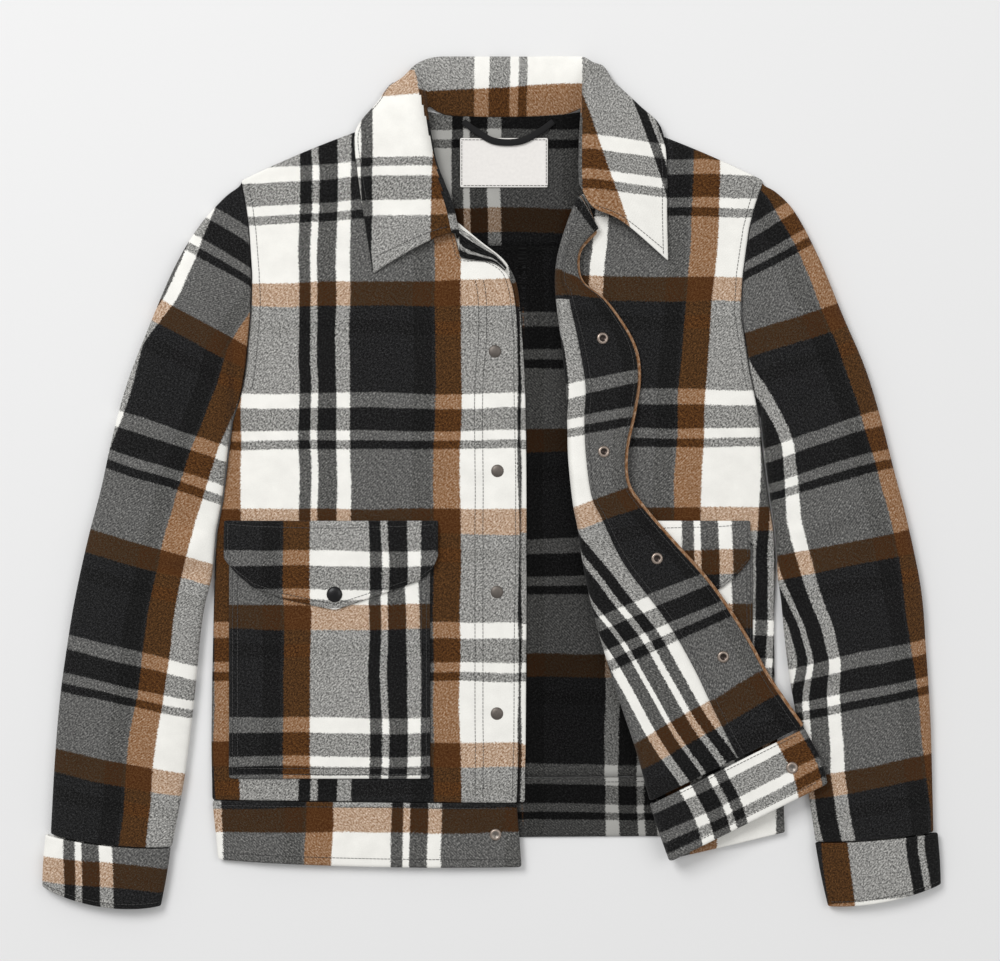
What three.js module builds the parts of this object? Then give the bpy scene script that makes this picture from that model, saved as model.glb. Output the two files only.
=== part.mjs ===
// Mackinaw jacket, laid open and flat on its back.
//
// A boxy plaid wool jacket with a shirt collar, two patch pockets under curved flaps, a banded hem and
// banded cuffs. Right and left are the wearer's. The right front lies flat, the left front has its
// opening edge turned back outwards, so that its facing shows. Millimetres, +Z up out of the surface
// that the jacket lies on, +Y toward the collar, the wearer's left at +X.

import * as THREE from 'three';

// Cloth and gaps
const CLOTH = 2.0;
const BAND = 3.0;
const FACING_CLOTH = 1.8;
const LABEL_CLOTH = 1.0;
const STRAP_CLOTH = 1.2;
const SEAM = 0.3;
const STACK = 0.45;

// Heights of the fronts over the surface
const FRONT_AT_SEAM = CLOTH + SEAM;
const FRONT_AT_MIDDLE = FRONT_AT_SEAM + CLOTH + SEAM;
const LEFT_FRONT_AT_MIDDLE = 3.9;
const EASE_FROM_EDGE = 50;
const BACK_INSET = 0.8;
const OVER_BAND_Y = -236;
const OVER_BAND_EASE = 28;

// Back
const YOKE_SEAM_Y = 218.5;
const BACK_BAND_DEPTH = 55;
const BACK_COLUMNS = 10;
const BACK_ROWS = 12;
const BAND_ROWS = 2;
const YOKE_ROWS = 3;
const YOKE_SHOULDER_STEPS = 5;
const BACK_HEM = [
  { x: -262, y: -343 },
  { x: -130, y: -333 },
  { x: 12, y: -327 },
  { x: 150, y: -326 },
  { x: 272, y: -322 },
];

// Side seams and armholes: x of the body's edge at a height y
const BODY = [
  { y: -358, right: -252, left: 270 },
  { y: -292, right: -258, left: 268 },
  { y: -242, right: -259, left: 262.7 },
  { y: -190, right: -258.5, left: 260 },
  { y: -130, right: -257.2, left: 259.4 },
  { y: -72, right: -255.8, left: 260.8 },
  { y: -45, right: -253.5, left: 259 },
  { y: -16, right: -247.9, left: 254.4 },
  { y: 27, right: -242.9, left: 248.9 },
  { y: 57, right: -239, left: 246.1 },
  { y: 81, right: -231.4, left: 241.5 },
  { y: 105, right: -227, left: 236.4 },
  { y: 157, right: -222.2, left: 228.6 },
  { y: 191, right: -221.3, left: 230.5 },
  { y: 233, right: -224, left: 236.4 },
  { y: 254, right: -226.8, left: 241.5 },
  { y: 278, right: -231.4, left: 249.8 },
];
const SHOULDER_Y = 278;
const NECK_RIGHT = { x: -63, y: 343 };
const NECK_LEFT = { x: 86, y: 341 };
const NECKLINE = [
  { x: -63, y: 341 },
  { x: -40, y: 336.3 },
  { x: 11, y: 335 },
  { x: 62, y: 336.8 },
  { x: 86, y: 341 },
];
const SHOULDER_BOW = 4.5;

// Right front, a row from the side seam or armhole to the opening edge or neckline
const RIGHT_FRONT_COLUMNS = 12;
const RIGHT_FRONT = [
  { y: -292.1, edgeX: 22.5, edgeY: -294.9 },
  { y: -264, edgeX: 23.5, edgeY: -264 },
  { y: -250, edgeX: 24, edgeY: -251 },
  { y: -236, edgeX: 24.4, edgeY: -237.8 },
  { y: -180, edgeX: 24.7, edgeY: -181 },
  { y: -125, edgeX: 25, edgeY: -125 },
  { y: -76, edgeX: 25.8, edgeY: -75 },
  { y: -35, edgeX: 25.9, edgeY: -34 },
  { y: 0, edgeX: 25.9, edgeY: 3 },
  { y: 35, edgeX: 25.2, edgeY: 38 },
  { y: 65, edgeX: 24.4, edgeY: 73 },
  { y: 96, edgeX: 23.9, edgeY: 105 },
  { y: 122, edgeX: 23.5, edgeY: 134 },
  { y: 146, edgeX: 20.7, edgeY: 167.9 },
  { y: 160, edgeX: 17, edgeY: 184.5 },
  { y: 170, edgeX: 11, edgeY: 195.5 },
  { y: 178, edgeX: -4.1, edgeY: 203.5 },
  { y: 187, edgeX: -27.1, edgeY: 205.6 },
  { y: 199, edgeX: -33.6, edgeY: 224 },
  { y: 218, edgeX: -42.3, edgeY: 255.3 },
  { y: 242, edgeX: -56.6, edgeY: 292.1 },
  { y: 262, edgeX: -63, edgeY: 324.3 },
  { y: SHOULDER_Y, edgeX: NECK_RIGHT.x, edgeY: NECK_RIGHT.y },
];
const RIGHT_BAND_BOTTOM = { rightX: -252.5, rightY: -347.3, leftX: 27.1, leftY: -353.7, bow: 3 };

// Facing of the right front, its outer edge just past the front's own edge
const FACING_WIDTH = 60;
const FACING_COLUMNS = 3;
const RIGHT_FACING = [
  { x: 29.9, y: -294.6, lean: 0 },
  { x: 30.3, y: -264, lean: 0 },
  { x: 30.6, y: -250, lean: 0 },
  { x: 30.8, y: -237.8, lean: 0 },
  { x: 31.7, y: -69.5, lean: 0 },
  { x: 30.6, y: 73.1, lean: 0 },
  { x: 27.1, y: 140.3, lean: 2 },
  { x: 23.5, y: 178.9, lean: 8 },
  { x: 15.7, y: 198.3, lean: 14 },
  { x: 6.9, y: 208.8, lean: 22 },
  { x: -8.7, y: 220.3, lean: 30 },
  { x: -31, y: 239, lean: 34 },
];

// Left front, a row from the side seam to the fold, over it and back out to the free edge:
// rise is the roll's height, lift the free edge's height over the cloth under it, and facing the
// share of the turned-back width that the facing covers, from the free edge
const FOLD_REACH = 5;
const LOWER_COLUMNS = 10;
const ROLL_COLUMNS = 5;
const UPPER_COLUMNS = 7;
const LEFT_FRONT = [
  { y: -294.9, foldX: 144.9, foldY: -291.2, edgeX: 285.7, edgeY: -222.2, rise: 12, lift: 13, facing: 0.45 },
  { y: -250.7, foldX: 132.9, foldY: -247, edgeX: 255.3, edgeY: -178, rise: 12, lift: 10, facing: 0.45 },
  { y: -209.3, foldX: 118.2, foldY: -202.9, edgeX: 236, edgeY: -143.1, rise: 12, lift: 8, facing: 0.46 },
  { y: -167, foldX: 104.4, foldY: -158.7, edgeX: 214.8, edgeY: -109.9, rise: 12, lift: 9.5, facing: 0.49 },
  { y: -134.8, foldX: 95.2, foldY: -126.5, edgeX: 194.6, edgeY: -83.3, rise: 12, lift: 10.5, facing: 0.54 },
  { y: -89.7, foldX: 85.1, foldY: -82.3, edgeX: 167, edgeY: -52.9, rise: 13, lift: 10.5, facing: 0.64 },
  { y: -46.5, foldX: 78.7, foldY: -40.9, edgeX: 138.5, edgeY: -19.8, rise: 14, lift: 11, facing: 0.7 },
  { y: -24.4, foldX: 74.5, foldY: -18.9, edgeX: 125.6, edgeY: 0.5, rise: 14, lift: 12, facing: 0.76 },
  { y: 10.6, foldX: 70.4, foldY: 20.7, edgeX: 124.7, edgeY: 29.9, rise: 13, lift: 10, facing: 0.8 },
  { y: 41.9, foldX: 69.5, foldY: 53.8, edgeX: 132, edgeY: 63.9, rise: 11, lift: 5, facing: 0.84 },
  { y: 75, foldX: 68.5, foldY: 85.1, edgeX: 136.6, edgeY: 98.9, rise: 10, lift: 3.4, facing: 0.82 },
  { y: 121, foldX: 63.9, foldY: 129.3, edgeX: 130.2, edgeY: 130.2, rise: 10, lift: 3.6, facing: 0.85 },
  { y: 162.4, foldX: 58.9, foldY: 169.7, edgeX: 105.3, edgeY: 167, rise: 10, lift: 6, facing: 0.86 },
  { y: 183.5, foldX: 58.4, foldY: 193.7, edgeX: 83.3, edgeY: 184.5, rise: 9, lift: 8, facing: 0.8 },
  { y: 209.3, foldX: 62.1, foldY: 215.7, edgeX: 80.5, edgeY: 208.4, rise: 8, lift: 7, facing: 0.75 },
  { y: 227.7, foldX: 70.4, foldY: 241.5, edgeX: 89.7, edgeY: 222.2, rise: 7, lift: 5, facing: 0.75 },
  { y: 246, foldX: 79.5, foldY: 264.3, edgeX: 98.9, edgeY: 230.5, rise: 7, lift: 4, facing: 0.75 },
];
const LEFT_NECK = [
  { y: 252, edgeX: 85.8, edgeY: 272 },
  { y: 259, edgeX: 86.3, edgeY: 297 },
  { y: 266, edgeX: 87, edgeY: 320 },
  { y: SHOULDER_Y, edgeX: NECK_LEFT.x + 1, edgeY: NECK_LEFT.y + 1 },
];
const LEFT_BAND = [
  { y: -322, foldX: 163.3, foldY: -346.4, edgeX: 306.8, edgeY: -275.5, rise: 13, lift: 14 },
  { y: -311, foldX: 155.8, foldY: -325.6, edgeX: 301.5, edgeY: -255, rise: 13, lift: 14 },
  { y: -303, foldX: 149.8, foldY: -308.2, edgeX: 292.8, edgeY: -238, rise: 13, lift: 14 },
  { y: -295.4, foldX: 145.5, foldY: -293.6, edgeX: 285.6, edgeY: -224.6, rise: 13, lift: 14 },
];
const FACING_INSET = 0.04;
const LEFT_FACING_COLUMNS = 5;
const LEFT_ROWS_PER_STEP = 1.5;

// Collar, a row from its seam at the neck up the stand, over the roll and down to the leaf's edge:
// turn is 0 where the leaf falls on the front and 1 where it is folded behind the neck, and z holds
// the heights of the seam, the stand, the crest of the roll, the leaf's middle and its edge
const COLLAR = [
  { neck: [-32.2, 224], roll: [-31.5, 227], edge: [-109.9, 190.9], turn: 0, z: [5.4, 10, 14, 13, 9] },
  { neck: [-40.8, 255.6], roll: [-37.8, 256.6], edge: [-119.1, 248.9], turn: 0, z: [5.2, 11, 17, 13, 8.4] },
  { neck: [-55, 292.6], roll: [-52, 294], edge: [-124.7, 289.3], turn: 0, z: [5, 11, 18, 13, 7.6] },
  { neck: [-61.3, 325], roll: [-58.5, 328.9], edge: [-126.5, 322.3], turn: 0, z: [4.8, 11, 18, 13, 6.8] },
  { neck: [-59.5, 344.9], roll: [-63.7, 359.3], edge: [-106.3, 349], turn: 0.15, z: [4.2, 11, 17, 12, 6.2] },
  { neck: [-50, 341], roll: [-72, 379.5], edge: [-88.8, 366.6], turn: 0.5, z: [1.6, 9, 11, 7, 4] },
  { neck: [-38, 337.8], roll: [-56, 390.5], edge: [-50.3, 357], turn: 1, z: [1.2, 8.4, 4.6, 1, 1] },
  { neck: [-11, 336.6], roll: [-17, 391.5], edge: [-14, 350], turn: 1, z: [1.2, 8, 4.6, 1, 1] },
  { neck: [34, 336.9], roll: [34, 391.5], edge: [34, 350], turn: 1, z: [1.2, 8, 4.6, 1, 1] },
  { neck: [64, 338.6], roll: [66.7, 391.8], edge: [63, 355], turn: 1, z: [1.2, 8.4, 4.6, 1, 1] },
  { neck: [76, 341.9], roll: [84, 388], edge: [96, 384], turn: 0.6, z: [2, 9.5, 12, 8, 4] },
  { neck: [83, 343.6], roll: [84, 367], edge: [113, 367], turn: 0.1, z: [4.4, 11, 17, 12, 6.2] },
  { neck: [84.6, 334], roll: [82, 343.6], edge: [135.5, 346.3], turn: 0, z: [4.9, 11, 18, 13, 6.6] },
  { neck: [84.4, 315], roll: [80.5, 318.8], edge: [155.2, 326.1], turn: 0, z: [5, 11, 18, 13, 7] },
  { neck: [83.8, 297], roll: [80, 298.5], edge: [160.6, 288.5], turn: 0, z: [5, 12, 19, 15, 8] },
  { neck: [83.6, 283], roll: [80, 284], edge: [160.5, 246.1], turn: 0, z: [5, 13, 20, 18, 9] },
  { neck: [83.4, 271], roll: [80.8, 273], edge: [161.5, 202.9], turn: 0, z: [5.2, 13, 20, 18, 10] },
];
const COLLAR_ROWS_PER_STEP = 2;
const COLLAR_COLUMNS = 12;
const CREST_SHARE = 0.15;
const FALL_SHARE = 0.55;

// Sleeves: each ring runs from the outer edge to the inner one; bow bends it toward the cuff and
// height is the flattened tube's thickness
const RING_POINTS = 22;
const RING_EDGE_HEIGHT = 0.4;
const RING_FLATNESS = { across: 0.8, top: 0.7, bottom: 0.6, bottomDrop: 1.5 };
const ARMHOLE_GAP = 1;
const RIGHT_SLEEVE = [
  { outX: -232.6, outY: 276.6, inX: -239, inY: 66, bow: 0, height: 7 },
  { outX: -266.3, outY: 240.6, inX: -240.6, inY: 57, bow: -4, height: 13 },
  { outX: -291.2, outY: 200.1, inX: -243, inY: 45, bow: -3, height: 16 },
  { outX: -315.1, outY: 144.9, inX: -244.4, inY: 31, bow: -2, height: 17 },
  { outX: -336.3, outY: 89.7, inX: -246.5, inY: 12, bow: 0, height: 17 },
  { outX: -350.1, outY: 39.1, inX: -250.2, inY: -10, bow: 0, height: 16 },
  { outX: -360.2, outY: -6.9, inX: -255, inY: -34, bow: 0, height: 15 },
  { outX: -372.1, outY: -52.9, inX: -258.4, inY: -75.9, bow: 0, height: 17 },
  { outX: -384.1, outY: -108.1, inX: -267.3, inY: -131.1, bow: 0, height: 17 },
  { outX: -392.4, outY: -158.7, inX: -271.9, inY: -177.1, bow: 0, height: 16 },
  { outX: -397.9, outY: -200.1, inX: -276.5, inY: -220.3, bow: 0, height: 15 },
  { outX: -402.5, outY: -255.3, inX: -283.8, inY: -275.5, bow: 2, height: 15 },
  { outX: -406.2, outY: -323, inX: -294.9, inY: -335, bow: 3.5, height: 15 },
];
const FOREARM_ROW = 7;
const LEFT_SLEEVE = [
  { outX: 250.8, outY: 275.6, inX: 246.2, inY: 62, bow: 0, height: 7 },
  { outX: 275.5, outY: 252.5, inX: 247.9, inY: 52, bow: -4, height: 13 },
  { outX: 299, outY: 209, inX: 250, inY: 38, bow: -3, height: 16 },
  { outX: 322, outY: 153.5, inX: 252.8, inY: 20, bow: -2, height: 17 },
  { outX: 341.9, outY: 107, inX: 255.4, inY: 0, bow: 0, height: 17 },
  { outX: 355.8, outY: 63, inX: 258.6, inY: -22, bow: 0, height: 16 },
  { outX: 369.4, outY: 10.6, inX: 262, inY: -50, bow: 0, height: 15 },
  { outX: 381.6, outY: -36.7, inX: 263.8, inY: -80, bow: 0, height: 16 },
  { outX: 394.2, outY: -98.9, inX: 266.2, inY: -119.1, bow: 0, height: 16 },
  { outX: 398.8, outY: -154.1, inX: 271.9, inY: -170.7, bow: 0, height: 14 },
  { outX: 402.5, outY: -209.3, inX: 280.1, inY: -220.3, bow: 0, height: 13 },
  { outX: 404.3, outY: -259.9, inX: 288.4, inY: -271.9, bow: 1, height: 12 },
  { outX: 405.7, outY: -321.4, inX: 297.3, inY: -330.2, bow: 2, height: 12 },
];
const RIGHT_CUFF = [
  { outX: -411.1, outY: -323.4, inX: -295.8, inY: -335.8, bow: 3.5, height: 15 },
  { outX: -413.2, outY: -348, inX: -299.8, inY: -363, bow: 6, height: 15 },
  { outX: -414.2, outY: -371.2, inX: -305, inY: -389.5, bow: 9, height: 14 },
];
const LEFT_CUFF = [
  { outX: 409.5, outY: -321.9, inX: 296.7, inY: -331.1, bow: 2, height: 13 },
  { outX: 411.5, outY: -345, inX: 302, inY: -361, bow: 4, height: 13 },
  { outX: 412.6, outY: -369.4, inX: 308.7, inY: -390, bow: 5.5, height: 12 },
];

// Pockets and flaps, on the right front and mirrored about the jacket's middle onto the left
const MIRROR_X = 0;
const POCKET = { outX: -242.5, inX: -57, topY: -55, bottomY: -272.3, columns: 6, rows: 8 };
const FLAP = { outX: -247, inX: -49.8, topY: -35, stepY: -48, columns: 14, rows: 3 };
const FLAP_EDGE = [
  { across: 0, y: -70 },
  { across: 0.06, y: -84 },
  { across: 0.14, y: -97 },
  { across: 0.28, y: -107 },
  { across: 0.52, y: -117.5 },
  { across: 0.76, y: -101 },
  { across: 0.92, y: -90 },
  { across: 0.97, y: -82 },
  { across: 1, y: -67.6 },
];
const POCKET_CLEAR_OF_FOLD = 16;

// Label and hanger loop
const LABEL = { x: 10.6, y: 294.4, width: 81, height: 45.7 };
const LOOP = [
  { x: -27, y: 332.5, z: 3.2 },
  { x: -16, y: 324, z: 4.3 },
  { x: 2, y: 314, z: 4.6 },
  { x: 26, y: 314, z: 4.6 },
  { x: 45, y: 324, z: 4.3 },
  { x: 56, y: 332.5, z: 3.2 },
];
const LOOP_WIDTH = 5.6;
const LOOP_STEPS = 14;

// Snaps
const SNAP_SEGMENTS = 12;
const SEARCH_STEP = 0.05;
const SLOPE_REACH = 0.3;
const STUD = [[0, 0], [6.4, 0], [6.4, 0.7], [5.4, 1.2], [2.6, 1.2], [2.3, 3], [0, 3]];
const SOCKET = [[0, 0], [7, 0], [7, 0.9], [6, 1.8], [3.8, 1.8], [2.8, 1], [0, 1]];
const CAP = [[0, 0], [7.4, 0], [7.4, 0.9], [5.6, 2], [2.8, 2.6], [0, 2.8]];
const STUDS = [
  { x: 2.3, y: 120.5 },
  { x: 4.6, y: 10.6 },
  { x: 4.1, y: -100.7 },
  { x: 4.1, y: -212.5 },
  { x: 2.8, y: -323.4 },
];
const SOCKETS = [
  { x: 100.7, y: 132 },
  { x: 101.7, y: 28.1 },
  { x: 150.4, y: -69.5 },
  { x: 211.1, y: -159.6 },
];
const BAND_SOCKET = { x: 273.7, y: -260.8 };
const FLAP_SNAP = { x: -144.9, y: -102.6 };

// Broad soft folds of the fronts: a ridge through x, y, its direction, length, width and height
const FOLDS = [
  { x: -170, y: 90, angle: 62, length: 150, width: 34, height: 1.1 },
  { x: -110, y: 10, angle: 80, length: 170, width: 38, height: 0.8 },
  { x: -205, y: 20, angle: 50, length: 90, width: 26, height: 0.8 },
  { x: -90, y: 200, angle: 74, length: 120, width: 30, height: 0.8 },
  { x: 190, y: 110, angle: 108, length: 150, width: 32, height: 1 },
  { x: 205, y: 10, angle: 96, length: 120, width: 28, height: 0.9 },
];

const group = new THREE.Group();

// Numbers

function mix(a, b, t) {
  return a + (b - a) * t;
}

function ease(t) {
  const s = Math.min(1, Math.max(0, t));
  return s * s * (3 - 2 * s);
}

function cubic(a, b, c, d, t) {
  const slopeB = (c - a) / 2;
  const slopeC = (d - b) / 2;
  const t2 = t * t;
  const t3 = t2 * t;
  return (2 * t3 - 3 * t2 + 1) * b + (t3 - 2 * t2 + t) * slopeB + (3 * t2 - 2 * t3) * c + (t3 - t2) * slopeC;
}

// A table's row at a real place between its rows, every column on a smooth curve
function rowAt(table, place) {
  const last = table.length - 1;
  const at = Math.min(last, Math.max(0, place));
  const i = Math.min(last - 1, Math.floor(at));
  const rows = [i - 1, i, i + 1, i + 2].map((k) => table[Math.min(last, Math.max(0, k))]);
  const row = {};
  for (const column of Object.keys(table[0])) {
    const values = rows.map((each) => each[column]);
    row[column] = Array.isArray(values[0])
      ? values[0].map((_, k) => cubic(...values.map((value) => value[k]), at - i))
      : cubic(...values, at - i);
  }
  return row;
}

// A table's column at a value of its ordered key column, on straight pieces
function lookUp(table, key, column, value) {
  let i = 0;
  while (i < table.length - 2 && table[i + 1][key] < value) {
    i += 1;
  }
  const t = (value - table[i][key]) / (table[i + 1][key] - table[i][key]);
  return mix(table[i][column], table[i + 1][column], Math.min(1, Math.max(0, t)));
}

function steps(count) {
  return Array.from({ length: count + 1 }, (_, i) => i / count);
}

// Walls

function addQuad(triangles, a, b, c, d) {
  triangles.push([a, b, c], [a, c, d]);
}

function signedVolume(triangles) {
  return triangles.reduce((sum, [a, b, c]) => sum + a.dot(new THREE.Vector3().crossVectors(b, c)) / 6, 0);
}

function closedGeometry(triangles) {
  const facesOut = signedVolume(triangles) > 0;
  const points = triangles.flatMap(([a, b, c]) => (facesOut ? [a, b, c] : [a, c, b]));
  return new THREE.BufferGeometry().setFromPoints(points);
}

// Unit normals of a grid of points, each the mean of the kept cells around it
function gridNormals(grid, keeps) {
  const normals = grid.map((row) => row.map(() => new THREE.Vector3()));
  for (let j = 0; j < grid.length - 1; j += 1) {
    for (let i = 0; i < grid[j].length - 1; i += 1) {
      if (keeps(i, j)) {
        const across = grid[j][i + 1].clone().add(grid[j + 1][i + 1]).sub(grid[j][i]).sub(grid[j + 1][i]);
        const along = grid[j + 1][i].clone().add(grid[j + 1][i + 1]).sub(grid[j][i]).sub(grid[j][i + 1]);
        const normal = across.cross(along).normalize();
        [[i, j], [i + 1, j], [i, j + 1], [i + 1, j + 1]].forEach(([k, m]) => normals[m][k].add(normal));
      }
    }
  }
  normals.forEach((row) => row.forEach((normal) => normal.normalize()));
  return normals;
}

function moved(grid, distance) {
  const normals = gridNormals(grid, () => true);
  return grid.map((row, j) => row.map((point, i) => point.clone().addScaledVector(normals[j][i], distance)));
}

// A closed wall around a grid of middle points; keeps leaves out the cells that the cut hasn't
function wall(grid, thickness, keeps = () => true) {
  const normals = gridNormals(grid, keeps);
  const face = (away) =>
    grid.map((row, j) => row.map((point, i) => point.clone().addScaledVector(normals[j][i], away)));
  const top = face(thickness / 2);
  const bottom = face(-thickness / 2);
  const inside = (i, j) => j >= 0 && i >= 0 && j < grid.length - 1 && i < grid[0].length - 1 && keeps(i, j);
  const triangles = [];
  for (let j = 0; j < grid.length - 1; j += 1) {
    for (let i = 0; i < grid[0].length - 1; i += 1) {
      if (inside(i, j)) {
        const corners = [[i, j], [i + 1, j], [i + 1, j + 1], [i, j + 1]];
        const beyond = [[i, j - 1], [i + 1, j], [i, j + 1], [i - 1, j]];
        addQuad(triangles, ...corners.map(([k, m]) => top[m][k]));
        addQuad(triangles, ...[...corners].reverse().map(([k, m]) => bottom[m][k]));
        corners.forEach(([k, m], edge) => {
          const [nextK, nextM] = corners[(edge + 1) % 4];
          if (!inside(...beyond[edge])) {
            addQuad(triangles, top[m][k], bottom[m][k], bottom[nextM][nextK], top[nextM][nextK]);
          }
        });
      }
    }
  }
  return closedGeometry(triangles);
}

// A closed tube wall between outer and inner rings, open at both mouths
function tubeWall(outer, inner) {
  const triangles = [];
  const count = outer[0].length;
  for (let i = 0; i < count; i += 1) {
    const next = (i + 1) % count;
    for (let j = 0; j < outer.length - 1; j += 1) {
      addQuad(triangles, outer[j][i], outer[j][next], outer[j + 1][next], outer[j + 1][i]);
      addQuad(triangles, inner[j][i], inner[j + 1][i], inner[j + 1][next], inner[j][next]);
    }
    const end = outer.length - 1;
    addQuad(triangles, outer[0][next], outer[0][i], inner[0][i], inner[0][next]);
    addQuad(triangles, outer[end][i], outer[end][next], inner[end][next], inner[end][i]);
  }
  return closedGeometry(triangles);
}

// Looks

function cloth(color) {
  return new THREE.MeshStandardMaterial({ color, roughness: 0.95, metalness: 0 });
}

function metal(color) {
  return new THREE.MeshStandardMaterial({ color, roughness: 0.4, metalness: 0.9 });
}

function add(name, geometry, material) {
  const mesh = new THREE.Mesh(geometry, material);
  mesh.name = name;
  group.add(mesh);
  return mesh;
}

// Lie of the cloth

function bodyRight(y) {
  return lookUp(BODY, 'y', 'right', y);
}

function bodyLeft(y) {
  return lookUp(BODY, 'y', 'left', y);
}

function shoulderY(x) {
  const right = x < 0;
  const tipX = right ? bodyRight(SHOULDER_Y) : bodyLeft(SHOULDER_Y);
  const neck = right ? NECK_RIGHT : NECK_LEFT;
  const t = Math.min(1, Math.max(0, (x - tipX) / (neck.x - tipX)));
  return mix(SHOULDER_Y, neck.y, t) + SHOULDER_BOW * 4 * t * (1 - t);
}

function softFolds(x, y) {
  return FOLDS.reduce((sum, fold) => {
    const angle = (fold.angle * Math.PI) / 180;
    const along = (x - fold.x) * Math.cos(angle) + (y - fold.y) * Math.sin(angle);
    const across = (y - fold.y) * Math.cos(angle) - (x - fold.x) * Math.sin(angle);
    const spread = ((2 * along) / fold.length) ** 2 + ((1.6 * across) / fold.width) ** 2;
    const reach = Math.exp(-spread);
    return sum + fold.height * reach;
  }, 0);
}

// Rise of what lies on the back where the thicker hem band is under it
function bandRise(y) {
  return (BAND - CLOTH) * ease((OVER_BAND_Y - y) / OVER_BAND_EASE);
}

// Underside of a front at a place, down at its seams and raised over its middle
function frontUnderside(x, y, sideDistance, middle) {
  const fromShoulder = ease((shoulderY(x) - y) / EASE_FROM_EDGE);
  const fromSide = ease(sideDistance / EASE_FROM_EDGE);
  return bandRise(y) + mix(FRONT_AT_SEAM, middle + softFolds(x, y), fromShoulder * fromSide);
}

function rightFrontTop(x, y) {
  return frontUnderside(x, y, x - bodyRight(y), FRONT_AT_MIDDLE) + CLOTH;
}

function leftFrontTop(x, y) {
  return frontUnderside(x, y, bodyLeft(y) - x, LEFT_FRONT_AT_MIDDLE) + CLOTH;
}

// Back

function backHemY(x) {
  return lookUp(BACK_HEM, 'x', 'y', x);
}

function backGrid(bottomAt, topAt, rowCount) {
  return steps(rowCount).map((v) =>
    steps(BACK_COLUMNS).map((u) => {
      const nearX = mix(bodyRight(0), bodyLeft(0), u);
      const y = mix(bottomAt(nearX), topAt(nearX), v);
      return new THREE.Vector3(mix(bodyRight(y) + BACK_INSET, bodyLeft(y) - BACK_INSET, u), y, CLOTH / 2);
    }));
}

function makeBack() {
  const grid = backGrid((x) => backHemY(x) + BACK_BAND_DEPTH + SEAM, () => YOKE_SEAM_Y - SEAM, BACK_ROWS);
  add('back', wall(grid, CLOTH), cloth(0x3a3634));
}

function makeBackBand() {
  const grid = backGrid(backHemY, (x) => backHemY(x) + BACK_BAND_DEPTH, BAND_ROWS);
  grid.forEach((row) => row.forEach((point) => point.setZ(BAND / 2)));
  add('hem_band_back', wall(grid, BAND), cloth(0x8a8680));
}

function makeYoke() {
  const rightTip = bodyRight(SHOULDER_Y);
  const leftTip = bodyLeft(SHOULDER_Y);
  const topEdge = [
    ...steps(YOKE_SHOULDER_STEPS).slice(0, -1).map((t) => mix(rightTip, NECK_RIGHT.x, t)),
    ...NECKLINE.map((point) => point.x),
    ...steps(YOKE_SHOULDER_STEPS).slice(1).map((t) => mix(NECK_LEFT.x, leftTip, t)),
  ];
  const grid = steps(YOKE_ROWS).map((v) =>
    topEdge.map((x) => {
      const inNeck = x >= NECK_RIGHT.x && x <= NECK_LEFT.x;
      const top = inNeck ? lookUp(NECKLINE, 'x', 'y', x) : shoulderY(x) - BACK_INSET;
      const y = mix(YOKE_SEAM_Y, top, v);
      const share = (x - rightTip) / (leftTip - rightTip);
      const acrossX = mix(bodyRight(y) + BACK_INSET, bodyLeft(y) - BACK_INSET, share);
      return new THREE.Vector3(acrossX, y, CLOTH / 2);
    }));
  add('back_yoke', wall(grid, CLOTH), cloth(0x9a948c));
}

// Right front

function rightFrontGrid() {
  return RIGHT_FRONT.map((row, j) =>
    steps(RIGHT_FRONT_COLUMNS).map((u) => {
      const isShoulder = j === RIGHT_FRONT.length - 1;
      const x = mix(bodyRight(row.y), row.edgeX, u);
      const y = isShoulder ? shoulderY(x) : mix(row.y, row.edgeY, u);
      return new THREE.Vector3(x, y, rightFrontTop(x, y) - CLOTH / 2);
    }));
}

function makeRightFront() {
  add('front_right', wall(rightFrontGrid(), CLOTH), cloth(0x8f8578));
}

function makeRightBand() {
  const top = RIGHT_FRONT[0];
  const end = RIGHT_BAND_BOTTOM;
  const grid = steps(BAND_ROWS).map((v) =>
    steps(RIGHT_FRONT_COLUMNS).map((u) => {
      const bow = end.bow * 4 * u * (1 - u) * v;
      const x = mix(mix(bodyRight(top.y), top.edgeX, u), mix(end.rightX, end.leftX, u), v);
      const seamY = mix(top.y, top.edgeY, u) - SEAM;
      const y = mix(seamY, mix(end.rightY, end.leftY, u) - bow, v);
      return new THREE.Vector3(x, y, rightFrontTop(x, y) - CLOTH + BAND / 2);
    }));
  add('hem_band_right', wall(grid, BAND), cloth(0x9c8f80));
}

function makeRightFacing() {
  const grid = RIGHT_FACING.map((row) =>
    steps(FACING_COLUMNS).map((u) => {
      const x = row.x - FACING_WIDTH * (1 - u);
      const y = row.y + row.lean * (1 - u);
      return new THREE.Vector3(x, y, FRONT_AT_SEAM + bandRise(y) + FACING_CLOTH / 2);
    }));
  add('facing_right', wall(grid, FACING_CLOTH), cloth(0x6d665e));
}

// Left front

function bearing(fromX, fromY, toX, toY) {
  return Math.atan2(toY - fromY, toX - fromX);
}

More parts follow.
